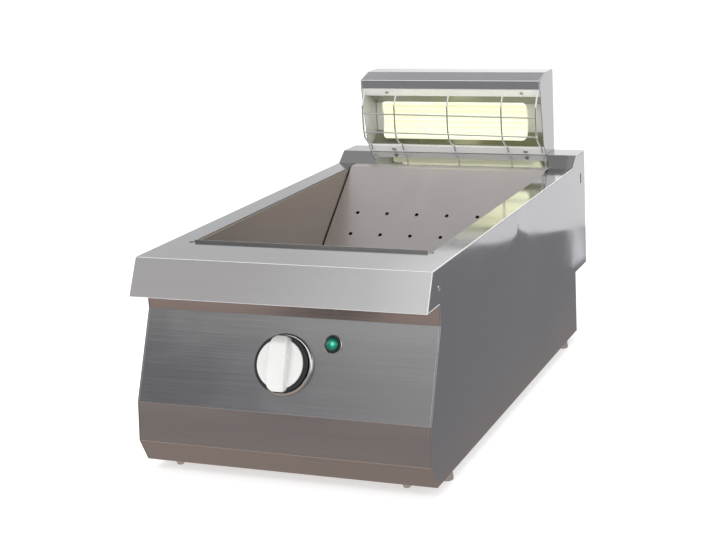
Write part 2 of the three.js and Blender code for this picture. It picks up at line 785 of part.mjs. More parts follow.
// Knob: bezel fixed on the panel; skirt, ring, cap and shaft turn together
const knob = { base: 31, flangeLow: 8, flangeTop: 11.5, bore: shaftRadius + fit, boreTop: 9.5 };
const bezel = { radius: 39, lip: 4, lipWidth: 4, floor: 1.5, bore: 11 };
const ring = { low: 5.2, high: 7.6, radius: 33.5 };
const cap = { radius: 31, rise: 2.8, edge: 1, gripHalf: 12.5, gripReach: 34.5, gripTip: 10, tipRise: 4.5 };
const regulator = {
  width: 44, height: 38, depth: 32, boss: 6, bossTop: 0.8, bore: shaftRadius + fit, boreDepth: 16,
};
const skirtLow = bezel.lip + 0.5 * thinSheet;

function makeKnob() {
  const place = (geometry) => onPanel(geometry, 0, knobDrop);
  addPiece("knob_bezel", place(turned([
    [bezel.bore, fit],
    [bezel.radius, fit],
    [bezel.radius, bezel.lip - thinSheet],
    [bezel.radius - thinSheet, bezel.lip],
    [bezel.radius - bezel.lipWidth, bezel.lip],
    [bezel.radius - bezel.lipWidth - thinSheet, bezel.floor],
    [bezel.bore, bezel.floor],
    [bezel.bore, fit],
  ], 48)), "chrome");
  addPiece("knob_skirt", place(turned([
    [knob.bore, skirtLow],
    [knob.base, skirtLow],
    [knob.base, knob.flangeLow],
    [knobRadius, knob.flangeLow + thinSheet],
    [knobRadius, knob.flangeTop],
    [0, knob.flangeTop],
    [0, knob.boreTop],
    [knob.bore, knob.boreTop],
    [knob.bore, skirtLow],
  ], 48)), "blackPlastic");
  addPiece("knob_trim_ring", place(turned([
    [knob.base + fit, ring.low],
    [ring.radius, ring.low],
    [ring.radius, ring.high],
    [knob.base + fit, ring.high],
    [knob.base + fit, ring.low],
  ], 48)), "chrome");
  const capLow = knob.flangeTop + fit;
  const disc = turned([
    [0, capLow],
    [cap.radius, capLow],
    [cap.radius, capLow + cap.rise - cap.edge],
    [cap.radius - cap.edge, capLow + cap.rise],
    [0, capLow + cap.rise],
  ], 48);
  const half = cap.gripHalf;
  const grip = acrossX([
    [-cap.gripReach, capLow],
    [cap.gripReach, capLow],
    [cap.gripReach, capLow + cap.tipRise],
    [cap.gripReach - cap.gripTip, knobDepth],
    [-cap.gripReach + cap.gripTip, knobDepth],
    [-cap.gripReach, capLow + cap.tipRise],
  ], -half, half);
  addPiece("knob_cap", place(join([disc, grip])), "whiteEnamel");
  const shaft = roundBar(shaftRadius, fit - regulator.boreDepth, knob.boreTop - fit);
  addPiece("regulator_shaft", place(shaft), "chrome");
  const front = -sheet - fit;
  const body = box(
    [-regulator.width / 2, -regulator.height / 2, front - regulator.depth],
    [regulator.width / 2, regulator.height / 2, front],
  );
  const boss = roundBar(regulator.boss, front - thinSheet, regulator.bossTop);
  const bore = roundBar(regulator.bore, -regulator.boreDepth, cutOverrun);
  addPiece("energy_regulator", place(cut(join([body, boss]), [bore])), "greyPlastic");
}

// Pilot lamp: lens in a black bezel with a chrome ring, body through the panel and nut behind it
const pilot = {
  body: 6.5, bodyTop: 1, bodyLow: -28, wall: 0.3, bezel: 10.5, bezelTop: 3.8, ring: 12, ringTop: 1.5,
};
const lens = { edge: 3.2, dome: 5, steps: 6 };
const pilotNut = { hex: 11, depth: 4.5 };

function makePilot() {
  const place = (geometry) => onPanel(geometry, pilotOffset, pilotDrop);
  addPiece("pilot_body", place(roundBar(pilot.body, pilot.bodyLow, pilot.bodyTop)), "greyPlastic");
  const low = pilot.bodyTop + fit;
  const dome = Array.from({ length: lens.steps + 1 }, (_, i) => {
    const angle = (i / lens.steps) * (Math.PI / 2);
    return [lensRadius * Math.cos(angle), low + lens.edge + lens.dome * Math.sin(angle)];
  });
  dome[lens.steps][0] = 0;
  addPiece("pilot_lens", place(turned([[0, low], [lensRadius, low], ...dome], 32)), "greenLens");
  const bezelBore = lensRadius + pilot.wall;
  addPiece("pilot_bezel", place(turned([
    [bezelBore, fit],
    [pilot.bezel, fit],
    [pilot.bezel, pilot.bezelTop - thinSheet],
    [pilot.bezel - thinSheet, pilot.bezelTop],
    [bezelBore, pilot.bezelTop],
    [bezelBore, fit],
  ], 32)), "blackPlastic");
  const ringBore = pilot.bezel + pilot.wall;
  addPiece("pilot_ring", place(turned([
    [ringBore, fit],
    [pilot.ring, fit],
    [pilot.ring, pilot.ringTop],
    [ringBore, pilot.ringTop],
    [ringBore, fit],
  ], 32)), "chrome");
  const nutTop = -sheet - fit;
  const nut = hexNut(pilotNut.hex, pilot.body + fit, nutTop - pilotNut.depth, nutTop);
  addPiece("pilot_nut", place(nut), "blackPlastic");
}

// Mains terminal block on the base, cable gland and earth stud through the lower back panel
const mains = {
  x: glandX, backInset: 72, width: 62, depth: 26, height: 24, ways: 5, slotWidth: 4, slotDepth: 8,
};
const mainsY = lowerBackY - mains.backInset;

function makeElectrics() {
  const low = baseTopZ + fit;
  const y0 = mainsY - mains.depth / 2;
  const y1 = mainsY + mains.depth / 2;
  const body = box([mains.x - mains.width / 2, y0, low], [mains.x + mains.width / 2, y1, low + mains.height]);
  const slots = [];
  for (let i = 1; i < mains.ways; i += 1) {
    const x = mains.x + (i / mains.ways - 0.5) * mains.width;
    slots.push(box(
      [x - mains.slotWidth / 2, y0 - cutOverrun, low + mains.height - mains.slotDepth],
      [x + mains.slotWidth / 2, y1 + cutOverrun, low + mains.height + cutOverrun],
    ));
  }
  addPiece("terminal_block", cut(body, slots), "whiteEnamel");

  const atBack = (geometry, x, z) => geometry.rotateX(-Math.PI / 2).translate(x, lowerBackY, z);
  const nutBack = -sheet - fit;
  const glandBody = join([
    roundBar(gland.hex, fit, fit + gland.hexDepth, 6),
    roundBar(gland.thread, nutBack - glandNut.depth - cutOverrun, fit + gland.hexDepth),
    turned([
      [0, fit + gland.hexDepth / 2],
      [gland.dome, fit + gland.hexDepth / 2],
      [gland.dome, fit + gland.hexDepth + gland.domeDepth / 2],
      [gland.bore + thinSheet, fit + gland.hexDepth + gland.domeDepth],
      [0, fit + gland.hexDepth + gland.domeDepth],
    ], 24),
  ]);
  const reach = gland.hexDepth + gland.domeDepth + cutOverrun;
  const bore = roundBar(gland.bore, -reach, reach + cutOverrun);
  addPiece("cable_gland", atBack(cut(glandBody, [bore]), glandX, gland.z), "blackPlastic");
  const nut = hexNut(glandNut.hex, gland.thread + fit, nutBack - glandNut.depth, nutBack);
  addPiece("gland_nut", atBack(nut, glandX, gland.z), "blackPlastic");
  addPiece("earth_stud", atBack(join([
    roundBar(earth.radius, -earth.inside, earth.outside, 16),
    roundBar(earth.hex, fit, fit + earth.hexDepth, 6),
  ]), earthX, earth.z), "brass");
}

// Looms held at both ends: terminal block to regulator, terminal block to the hood's block
const loom = { radius: 4, hoodRadius: 2.5, rise: 12, bend: 30, clear: 20 };

function makeLooms() {
  const blockTop = baseTopZ + fit + mains.height;
  const blockFront = mainsY - mains.depth / 2 - fit;
  const loomZ = baseTopZ + loom.rise;
  const behindRegulator = panelPoint(0, knobDrop);
  const depth = sheet + fit + regulator.depth + fit;
  const out = new THREE.Vector3(0, Math.cos(panelTilt), -Math.sin(panelTilt));
  const end = behindRegulator.clone().addScaledVector(out, depth);
  const near = end.clone().addScaledVector(out, loom.bend);
  addPiece("loom_controls", tubeAlong([
    [mains.x, blockFront, loomZ],
    [mains.x, blockFront - loom.bend, loomZ],
    [mains.x, heaterY, loomZ],
    [mains.x / 2, near.y + loom.bend, loomZ + loom.clear],
    [0, near.y, near.z],
    [0, end.y, end.z],
  ], loom.radius, 40, 8), "blackPlastic");
  addPiece("loom_hood", tubeAlong([
    [mains.x + mains.width / 4, mainsY, blockTop + fit],
    [mains.x + mains.width / 4, mainsY, blockTop + loom.bend],
    [0, (mainsY + conduitY) / 2, rearBoxZ + loom.clear],
    [conduit.x, conduitY, ledgeTopZ - 2 * loom.bend],
    [conduit.x, conduitY, ledgeTopZ - loom.bend / 2],
    [conduit.x, conduitY, ledgeTopZ + loom.bend],
    [conduit.x, conduitY, emitterZ - hoodBlock.height / 2 - fit],
  ], loom.hoodRadius, 60, 8), "blackPlastic");
}

// Levelling feet: tapered pad, hexagon and stud, each in a weld nut on the base
const foot = { padTop: 11, taper: 1, hex: 7, socket: 7.5, socketHeight: 10, gap: 0.3 };

function makeFoot(place, [x, y]) {
  const top = footHeight - fit;
  const pad = turned([
    [0, 0],
    [footRadius - foot.taper, 0],
    [footRadius, foot.taper],
    [footRadius - foot.taper, foot.padTop],
    [0, foot.padTop],
  ], 24);
  const hex = roundBar(foot.hex, foot.padTop - foot.taper, top, 6);
  const stud = roundBar(studRadius, foot.padTop - foot.taper, studHeight, 16);
  addPiece(`foot_${place}`, join([pad, hex, stud]).translate(x, y, 0), "chrome");
  const socketLow = baseTopZ + fit;
  const socket = hexNut(foot.socket, studRadius + foot.gap, socketLow, socketLow + foot.socketHeight);
  addPiece(`foot_socket_${place}`, socket.translate(x, y, 0), "steel");
}

makeWorktop();
makeRearLedge();
makeSidePanel("side_panel_left", -halfWidth, -1);
makeSidePanel("side_panel_right", halfWidth, 1);
makeFrontPanel();
makePlinthScrew("plinth_screw_left", -plinthScrewX);
makePlinthScrew("plinth_screw_right", plinthScrewX);
makeBaseTray();
makeLowerBackPanel();
makeRearBoxCover();
makeBasin();
makeDrainRamp();
makeDrainFloor();
makeBasinHeater();
makeHood();
makeRails();
makeReflector();
makeEmitter();
makeEmitterFixings();
makeWireGuard();
makeConduit();
makeKnob();
makePilot();
makeElectrics();
makeLooms();
for (const [place, at] of Object.entries(footPlaces)) makeFoot(place, at);

// The origin is under the middle of the whole machine, knob included
const bounds = new THREE.Box3().setFromObject(warmer);
warmer.position.y = -(bounds.min.y + bounds.max.y) / 2;

export default warmer;
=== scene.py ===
import json
from math import acos, atan2, cos, pi, radians, sin, sqrt, tan

import bmesh
import bpy
from mathutils import Matrix, Vector


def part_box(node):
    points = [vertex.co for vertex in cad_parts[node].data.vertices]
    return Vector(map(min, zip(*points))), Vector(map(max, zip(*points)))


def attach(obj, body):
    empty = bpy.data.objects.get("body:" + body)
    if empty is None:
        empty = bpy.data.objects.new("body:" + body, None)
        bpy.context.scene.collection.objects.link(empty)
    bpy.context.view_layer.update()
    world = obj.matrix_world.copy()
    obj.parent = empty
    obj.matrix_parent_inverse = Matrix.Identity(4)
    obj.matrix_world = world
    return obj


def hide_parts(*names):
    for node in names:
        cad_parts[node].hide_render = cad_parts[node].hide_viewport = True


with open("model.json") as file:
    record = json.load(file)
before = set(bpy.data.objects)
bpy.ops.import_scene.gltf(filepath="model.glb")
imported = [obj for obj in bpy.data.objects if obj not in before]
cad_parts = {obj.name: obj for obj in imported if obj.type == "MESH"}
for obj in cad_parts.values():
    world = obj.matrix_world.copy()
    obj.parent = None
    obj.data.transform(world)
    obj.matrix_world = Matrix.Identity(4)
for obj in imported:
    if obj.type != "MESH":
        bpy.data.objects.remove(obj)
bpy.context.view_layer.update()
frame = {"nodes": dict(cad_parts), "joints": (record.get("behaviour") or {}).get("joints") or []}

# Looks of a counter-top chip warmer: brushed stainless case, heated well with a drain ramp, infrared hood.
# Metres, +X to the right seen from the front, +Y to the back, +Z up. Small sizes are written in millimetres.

MM = 0.001

# Photograph's frame and the camera fitted to it
PHOTO_WIDTH = 716
PHOTO_HEIGHT = 540
PHOTO_CENTRE = (458.0, 267.885)
FOCAL_PIXELS = 1457.47
SENSOR_WIDTH = 36
CAMERA_FROM_BACK = Vector((0.790, -2.2471, 0.71697))
CAMERA_YAW = radians(19.915)
CAMERA_PITCH = radians(14.691)
CAMERA_ROLL = radians(-2.407)

# Sheet metal: thickness, radii of folds and rims, least reach of a folded face
THIN = 1 * MM
FOLD_RADIUS = 2.4 * MM
DECK_FOLD = 3.2 * MM
HOOD_FOLD = 1.6 * MM
RAIL_FOLD = 1.2 * MM
SIDE_FOLD = 0.8 * MM
CHEEK_FOLD = 0.5 * MM
RIM_RADIUS = 0.28 * MM
BURR_RADIUS = 0.2 * MM
FOLD_REACH = 4 * MM
FOLD_SEGMENTS = 4

# Points closer than this are one, before and after the folds are rounded
WELD = 0.02 * MM
SLIVER = 0.004 * MM

# Corners of the solids that other pieces are set against
LEDGE_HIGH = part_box("rear_ledge")[1]
SIDE_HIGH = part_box("side_panel_right")[1]
BACK_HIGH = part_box("lower_back_panel")[1]
BASIN_LOW, BASIN_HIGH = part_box("basin")
RAMP_LOW, RAMP_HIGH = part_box("drain_ramp")
FLOOR_LOW, FLOOR_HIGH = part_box("drain_floor")
EMITTER_LOW, EMITTER_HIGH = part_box("ceramic_emitter")

# Plane of the case's back, which depths are counted from
BACK_Y = LEDGE_HIGH.y


def joint(name):
    return next(j for j in frame["joints"] if j["name"] == name)


def frame_at(place, across, up, out):
    """Matrix of a frame at a place, its X, Y and Z along the three directions."""
    turned_frame = Matrix((across, up, out)).transposed().to_4x4()
    return Matrix.Translation(place) @ turned_frame


def case_place(across, forward, up):
    """Point from millimetres across, forward of the case's back and above the counter."""
    return (across * MM, BACK_Y - forward * MM, up * MM)


# Control panel: places of the knob and the lens, directions out of its face and up its slope
PILOT_ACROSS = 62.5 * MM
PILOT_RISE = 26.7 * MM
KNOB_PLACE = Vector(joint("knob_turn")["pos_m"])
KNOB_AXIS = Vector(joint("knob_turn")["axis"]).normalized()
PANEL_OUT = -KNOB_AXIS if KNOB_AXIS.y > 0 else KNOB_AXIS
PANEL_UP = Vector((0, PANEL_OUT.z, -PANEL_OUT.y)).normalized()
LENS_PLACE = KNOB_PLACE + Vector((PILOT_ACROSS, 0, 0)) + PANEL_UP * (PILOT_RISE / PANEL_UP.z)
KNOB_FRAME = frame_at(KNOB_PLACE, Vector((1, 0, 0)), PANEL_UP, PANEL_OUT)
LENS_FRAME = frame_at(LENS_PLACE, Vector((1, 0, 0)), PANEL_UP, PANEL_OUT)


# Node helpers

def feed(tree, made, inputs):
    """Links or sets a node's inputs."""
    for key, value in dict(inputs).items():
        if isinstance(value, bpy.types.NodeSocket):
            tree.links.new(value, made.inputs[key])
        else:
            made.inputs[key].default_value = value
    return made


def add_node(tree, kind, inputs=(), **settings):
    """Makes a node and returns its outputs."""
    made = tree.nodes.new(kind)
    for key, value in settings.items():
        setattr(made, key, value)
    return feed(tree, made, inputs).outputs


def new_group(name, inputs, outputs, kind="ShaderNodeTree"):
    """A node group; inputs and outputs say what each socket takes."""
    group = bpy.data.node_groups.new(name, kind)
    for way, sockets in (("INPUT", inputs), ("OUTPUT", outputs)):
        for label, socket in sockets.items():
            group.interface.new_socket(name=label, in_out=way, socket_type="NodeSocket" + socket)
    return group, group.nodes.new("NodeGroupInput").outputs, group.nodes.new("NodeGroupOutput")


def maths(tree, operation, a, b):
    return add_node(tree, "ShaderNodeMath", {0: a, 1: b}, operation=operation)[0]


def scaled(tree, vector, factor):
    return add_node(tree, "ShaderNodeVectorMath", {0: vector, "Scale": factor}, operation="SCALE")[0]


def vectors(tree, operation, a, b):
    return add_node(tree, "ShaderNodeVectorMath", {0: a, 1: b}, operation=operation)


def ranged(tree, value, low, high, to_low, to_high):
    inputs = {"Value": value, "From Min": low, "From Max": high, "To Min": to_low, "To Max": to_high}
    return add_node(tree, "ShaderNodeMapRange", inputs, clamp=True)[0]


def mixed(tree, factor, a, b):
    return add_node(tree, "ShaderNodeMix", {0: factor, 6: a, 7: b}, data_type="RGBA")[2]


def noise(tree, place, scale, detail, **inputs):
    values = {"Vector": place, "Scale": scale, "Detail": detail, **inputs}
    return add_node(tree, "ShaderNodeTexNoise", values)[0]


def bump(tree, height, strength, distance, **inputs):
    values = {"Strength": strength, "Distance": distance, "Height": height, **inputs}
    return add_node(tree, "ShaderNodeBump", values)[0]


# Shared surface effects

def make_grain_group():
    """Fine parallel lines of a brushed sheet, with broader streaks among them."""
    inputs = {"Vector": "Vector", "Stretch": "Vector", "Depth": "Float"}
    outputs = {"Lines": "Float", "Streaks": "Float", "Normal": "Vector"}
    group, enter, leave = new_group("Brushed grain", inputs, outputs)
    drawn = vectors(group, "MULTIPLY", enter["Vector"], enter["Stretch"])[0]
    lines = noise(group, drawn, 1, 3)
    streaks = noise(group, drawn, 0.06, 2)
    normal = bump(group, lines, enter["Depth"], 0.1 * MM)
    feed(group, leave, {"Lines": lines, "Streaks": streaks, "Normal": normal})
    return group


def make_handling_group():
    """Wiped smudges over a surface and rubbed edges."""
    inputs = {"Vector": "Vector", "Size": "Float", "Edge Gain": "Float"}
    group, enter, leave = new_group("Handling", inputs, {"Smudge": "Float", "Edges": "Float"})
    cloud = noise(group, enter["Vector"], enter["Size"], 4, Distortion=0.6)
    edge = add_node(group, "ShaderNodeNewGeometry")["Pointiness"]
    rubbed = maths(group, "MULTIPLY", ranged(group, edge, 0.52, 0.6, 0, 1), enter["Edge Gain"])
    feed(group, leave, {"Smudge": ranged(group, cloud, 0.42, 0.7, 0, 1), "Edges": rubbed})
    return group


GRAIN = make_grain_group()
HANDLING = make_handling_group()


def new_material(name, **values):
    material = bpy.data.materials.new(name)
    material.use_nodes = True
    tree = material.node_tree
    values = {key.replace("_", " "): value for key, value in values.items()}
    return material, tree, feed(tree, tree.nodes["Principled BSDF"], values)


def handled(tree, place, size, gain):
    inputs = {"Vector": place, "Size": size, "Edge Gain": gain}
    return add_node(tree, "ShaderNodeGroup", inputs, node_tree=HANDLING)


def object_coordinates(tree):
    return add_node(tree, "ShaderNodeTexCoord")["Object"]


def shade(colour, gain):
    return tuple(min(1, channel * gain) for channel in colour) + (1,)


# Grain's lines per metre along X, Y and Z, for a sheet brushed along X and one brushed along Y
GRAIN_X = (7, 820, 820)
GRAIN_Y = (820, 7, 820)


def steel_material(
    name, colour, roughness, stretch, depth=0.1, anisotropy=0.6, contrast=0.06, dents=None, metal=1, glow=0,
    painted_light_and_shade=None,
):
    """Brushed steel; painted_light_and_shade scales its colour along one axis as painted light and shade:
    (axis, start, end, gain at start, gain at end); glow is an even white painted glow.
    """
    material, tree, shader = new_material(
        name, Metallic=metal, Anisotropic=anisotropy, Emission_Color=(1, 1, 1, 1), Emission_Strength=glow,
    )
    place = object_coordinates(tree)
    brushing = {"Vector": place, "Stretch": stretch, "Depth": depth}
    grain = add_node(tree, "ShaderNodeGroup", brushing, node_tree=GRAIN)
    handling = handled(tree, place, 9, 0.8)
    tone = maths(tree, "MULTIPLY", maths(tree, "ADD", grain["Lines"], grain["Streaks"]), 0.5)
    body = mixed(tree, tone, shade(colour, 1 - contrast), shade(colour, 1 + contrast))
    rubbed = mixed(tree, handling["Edges"], body, shade(colour, 1.12))
    # Painted light and shade: the colour scaled along one axis.
    if painted_light_and_shade:
        axis, start, end, low_gain, high_gain = painted_light_and_shade
        along = add_node(tree, "ShaderNodeSeparateXYZ", {0: place})[axis]
        rubbed = scaled(tree, rubbed, ranged(tree, along, start, end, low_gain, high_gain))
    wiped = ranged(tree, handling["Smudge"], 0, 1, roughness, roughness + 0.05)
    rough = maths(tree, "ADD", wiped, ranged(tree, grain["Lines"], 0.3, 0.7, -0.02, 0.02))
    tangent = add_node(tree, "ShaderNodeTangent", direction_type="UV_MAP", uv_map="grain")[0]
    normal = dents(tree, place, grain["Normal"]) if dents else grain["Normal"]
    feed(tree, shader, {"Base Color": rubbed, "Roughness": rough, "Tangent": tangent, "Normal": normal})
    return material


# Screw in each side's top edge, in millimetres forward of the back and above the counter
SIDE_SCREW_FORWARD = 368
SIDE_SCREW_UP = 256


def panel_dents(tree, place, normal):
    """Slow waves of a large flat panel, and the pull round its screw hole."""
    hole = case_place(SIDE_HIGH.x / MM, SIDE_SCREW_FORWARD, SIDE_SCREW_UP)
    away = vectors(tree, "DISTANCE", place, hole)["Value"]
    pull = ranged(tree, away, 0, 60 * MM, 1, 0)
    dip = maths(tree, "MULTIPLY", maths(tree, "MULTIPLY", pull, pull), 0.35)
    height = maths(tree, "ADD", noise(tree, place, 5, 0), dip)
    return bump(tree, height, 0.6, 4.5 * MM, Normal=normal)


def plain_material(
    name, colour, roughness, metallic=0, speckle=0.04, speckle_scale=260, grit=0.04, **values,
):
    """Moulded, cast or turned finish: mottled, fine bump, rubbed edges."""
    material, tree, shader = new_material(name, Metallic=metallic, **values)
    place = object_coordinates(tree)
    handling = handled(tree, place, 30, 0.5)
    fine = noise(tree, place, speckle_scale, 3)
    body = mixed(tree, fine, shade(colour, 1 - speckle), shade(colour, 1 + speckle))
    rubbed = mixed(tree, handling["Edges"], body, shade(colour, 1.15))
    wiped = ranged(tree, handling["Smudge"], 0, 1, roughness, roughness + 0.08)
    normal = bump(tree, fine, grit, 0.2 * MM)
    feed(tree, shader, {"Base Color": rubbed, "Roughness": wiped, "Normal": normal})
    return material


def ceramic_material():
    """Pale yellow glaze, paler on the crests of its ribs; the glaze's colour also glows from it, a painted
    glow.
    """
    material, tree, shader = new_material(
        "Glazed ceramic, painted glow", Coat_Weight=0.35, Coat_Roughness=0.18, Emission_Strength=0.42,
    )
    edge = add_node(tree, "ShaderNodeNewGeometry")["Pointiness"]
    crest = ranged(tree, edge, 0.47, 0.53, 0, 1)
    cloud = noise(tree, object_coordinates(tree), 24, 4)
    glaze = mixed(tree, crest, (0.80, 0.82, 0.50, 1), (0.93, 0.93, 0.74, 1))
    patchy = mixed(tree, ranged(tree, cloud, 0.45, 0.75, 0, 0.35), glaze, (0.74, 0.76, 0.46, 1))
    rough = ranged(tree, cloud, 0.3, 0.8, 0.28, 0.42)
    # The glaze's colour is also its emission: painted glow.
    feed(tree, shader, {"Base Color": patchy, "Emission Color": patchy, "Roughness": rough})
    return material


# Bright core inside the pilot lens: its place and its light's reach
CORE_RISE = 8.5 * MM
CORE_ASIDE = 3 * MM
CORE_START = 1 * MM
CORE_REACH = 3 * MM
GLOW_REACH = 7.5 * MM
FACETS_PER_METRE = 2600


def lens_material():
    """Green moulded lens with ring facets inside it."""
    material, tree, shader = new_material(
        "Green lens", Coat_Weight=1, Coat_Roughness=0.03, IOR=1.49, Emission_Strength=0.5,
    )
    place = object_coordinates(tree)
    rings = maths(tree, "MULTIPLY", vectors(tree, "DISTANCE", place, LENS_PLACE)["Value"], FACETS_PER_METRE)
    wave = maths(tree, "SINE", rings, 0)
    core = LENS_PLACE + PANEL_OUT * CORE_RISE + Vector((CORE_ASIDE, 0, 0))
    away = vectors(tree, "DISTANCE", place, core)["Value"]
    glow = ranged(tree, away, CORE_START, GLOW_REACH, 1, 0)
    deep = mixed(tree, glow, (0.0, 0.06, 0.04, 1), (0.0, 0.25, 0.155, 1))
    bright = ranged(tree, away, CORE_START, CORE_REACH, 1, 0)
    colour = mixed(tree, bright, deep, (0.04, 0.72, 0.46, 1))
    rough = ranged(tree, wave, -1, 1, 0.1, 0.2)
    facets = bump(tree, wave, 0.25, 0.3 * MM)
    feed(tree, shader, {"Base Color": colour, "Emission Color": colour, "Roughness": rough, "Normal": facets})
    return material


# Mesh helpers

def new_object(name, mesh):
    made = bpy.data.objects.new(name, mesh)
    bpy.context.scene.collection.objects.link(made)
    return made


def object_from(name, points, faces, edges=()):
    mesh = bpy.data.meshes.new(name)
    mesh.from_pydata([tuple(p) for p in points], edges, faces)
    mesh.update()
    return new_object(name, mesh)


def with_bmesh(made, work):
    edited = bmesh.new()
    edited.from_mesh(made.data)
    work(edited)
    edited.to_mesh(made.data)
    edited.free()
    made.data.update()
    return made


def faced_outwards(made):
    def work(edited):
        bmesh.ops.remove_doubles(edited, verts=edited.verts, dist=WELD)
        bmesh.ops.recalc_face_normals(edited, faces=edited.faces)
    return with_bmesh(made, work)


def settled(made):
    """The object's modifiers become its mesh."""
    graph = bpy.context.evaluated_depsgraph_get()
    mesh = bpy.data.meshes.new_from_object(made.evaluated_get(graph))
    old = made.data
    made.modifiers.clear()
    made.data = mesh
    bpy.data.meshes.remove(old)
    return made


def modified(made, kind, **settings):
    modifier = made.modifiers.new(kind.lower(), kind)
    for key, value in settings.items():
        setattr(modifier, key, value)
    return made


def cut_out(made, tool):
    settled(modified(made, "BOOLEAN", operation="DIFFERENCE", solver="EXACT", object=tool))
    bpy.data.objects.remove(tool)
    return made


def moved(made, matrix):
    made.data.transform(matrix)
    made.data.update()
    return made


def bevelled(made, width, segments=3, angle=radians(30)):
    rounding = {"width": width, "segments": segments, "limit_method": "ANGLE", "angle_limit": angle}
    return settled(modified(made, "BEVEL", **rounding))


def grain_map(made, along):
    """A UV map whose first direction runs along the brushed grain."""
    mesh = made.data
    layer = mesh.uv_layers.get("grain") or mesh.uv_layers.new(name="grain")
    along = Vector(along)
    for face in mesh.polygons:
        direction = along if abs(face.normal.dot(along)) < 0.9 else Vector((along.y, along.z, along.x))
        across = face.normal.cross(direction).normalized()
        direction = across.cross(face.normal).normalized()
        for i in face.loop_indices:
            place = mesh.vertices[mesh.loops[i].vertex_index].co
            layer.data[i].uv = (place.dot(direction), place.dot(across))


def soften(made):
    """Smooth shading over rounded edges, flat faces kept flat."""
    for face in made.data.polygons:
        face.use_smooth = True
    made.data.set_sharp_from_angle(angle=radians(32))
    modified(made, "WEIGHTED_NORMAL", keep_sharp=True, weight=100)


def hand_over(made, material, nodes=(), body="case", grain=None, bend=None):
    """Gives a piece its finish, shading, body and nodes."""
    if bend:
        made.data.materials[0] = material
        made.data.materials[1] = bend
    else:
        made.data.materials.clear()
        made.data.materials.append(material)
    if grain:
        grain_map(made, grain)
    soften(made)
    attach(made, body)
    if nodes:
        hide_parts(*nodes)


def reach_from(edge, face):
    start = edge.verts[0].co
    way = (edge.verts[1].co - start).normalized()
    return max(((v.co - start) - (v.co - start).dot(way) * way).length for v in face.verts)


def bulges(face):
    """True where a face lies on the outside of a bend."""
    centre = face.calc_center_median()
    others = [other for edge in face.edges for other in edge.link_faces if other is not face]
    return sum((other.calc_center_median() - centre).normalized().dot(face.normal) for other in others) < 0


def close_slivers(made):
    """Closes strips of no width and leaves the second material, a painted highlight on most sheets, only on
    the outside of bends.
    """
    def work(edited):
        bmesh.ops.remove_doubles(edited, verts=edited.verts, dist=SLIVER)
        for face in edited.faces:
            if face.material_index and not bulges(face):
                face.material_index = 0
    return with_bmesh(made, work)


def refined(node, name, fold=FOLD_RADIUS, rim=RIM_RADIUS, bend=None):
    """A copy of a node's solid with round folds and eased rims."""
    def work(edited):
        bmesh.ops.remove_doubles(edited, verts=edited.verts, dist=WELD)
        bmesh.ops.dissolve_limit(
            edited, angle_limit=radians(0.5), verts=edited.verts, edges=edited.edges,
            use_dissolve_boundaries=False,
        )
        weights = edited.edges.layers.float.new("bevel_weight_edge")
        for edge in edited.edges:
            if len(edge.link_faces) == 2 and edge.calc_face_angle(0) > radians(12):
                folded = all(reach_from(edge, face) > FOLD_REACH for face in edge.link_faces)
                edge[weights] = 1 if folded else rim / fold
    made = new_object(name, frame["nodes"][node].data.copy())
    with_bmesh(made, work)
    made.data.materials.clear()
    rounding = {"width": fold, "segments": FOLD_SEGMENTS, "limit_method": "WEIGHT"}
    # The bevels' faces take the second material, on most sheets a painted highlight along the bends.
    if bend:
        made.data.materials.append(bend)
        made.data.materials.append(bend)
        rounding["material"] = 1
    return close_slivers(settled(modified(made, "BEVEL", **rounding)))


def turned(name, outline, segments):
    """Solid of revolution about +Z from (radius, height) in millimetres; off the axis it closes on itself."""
    points, faces, rings = [], [], []
    for radius, height in outline:
        if radius < 1e-6:
            rings.append([len(points)])
            points.append((0, 0, height * MM))
            continue
        ring = []
        for i in range(segments):
            angle = 2 * pi * i / segments
            ring.append(len(points))
            points.append((radius * MM * cos(angle), radius * MM * sin(angle), height * MM))
        rings.append(ring)
    closed = outline[0][0] > 1e-6
    pairs = list(zip(rings, rings[1:])) + ([(rings[-1], rings[0])] if closed else [])
    for low, high in pairs:
        for i in range(segments):
            j = (i + 1) % segments
            corners = [low[i % len(low)], low[j % len(low)], high[j % len(high)], high[i % len(high)]]
            face = list(dict.fromkeys(corners))
            if len(face) > 2:
                faces.append(face)
    return faced_outwards(object_from(name, points, faces))


def rounded_line(points, radius, steps=5):
    """An open line whose corners are arcs."""
    line = [Vector(points[0])]
    for before, corner, after in zip(points, points[1:], points[2:]):
        corner = Vector(corner)
        back = (Vector(before) - corner).normalized()
        on = (Vector(after) - corner).normalized()
        half = acos(max(-1, min(1, back.dot(on)))) / 2
        centre = corner + (back + on).normalized() * (radius / sin(half))
        start = corner + back * (radius / tan(half))
        turn = pi - 2 * half
        side = 1 if back.x * on.y - back.y * on.x < 0 else -1
        for i in range(steps + 1):
            line.append(centre + Matrix.Rotation(side * turn * i / steps, 2) @ (start - centre))
    line.append(Vector(points[-1]))
    return line


def bent_sheet(name, line, thickness, low, high, place):
    """A sheet bent along a line, its thickness to the right; place turns (across, along, up) into a point."""
    inner = []
    for i, point in enumerate(line):
        way = (line[min(i + 1, len(line) - 1)] - line[max(i - 1, 0)]).normalized()
        inner.append(point + Vector((way.y, -way.x)) * thickness)
    points = [place(across, p.x, p.y) for across in (low, high) for side in (line, inner) for p in side]
    count = len(line)
    far = 2 * count
    faces = []
    for i in range(count - 1):
        a, b, c, d = i, i + 1, i + count, i + 1 + count
        faces += [(a, b, b + far, a + far), (c + far, d + far, d, c)]
        faces += [(a, c, d, b), (a + far, b + far, d + far, c + far)]
    for i in (0, count - 1):
        faces.append((i, i + far, i + far + count, i + count))
    return faced_outwards(object_from(name, points, faces))


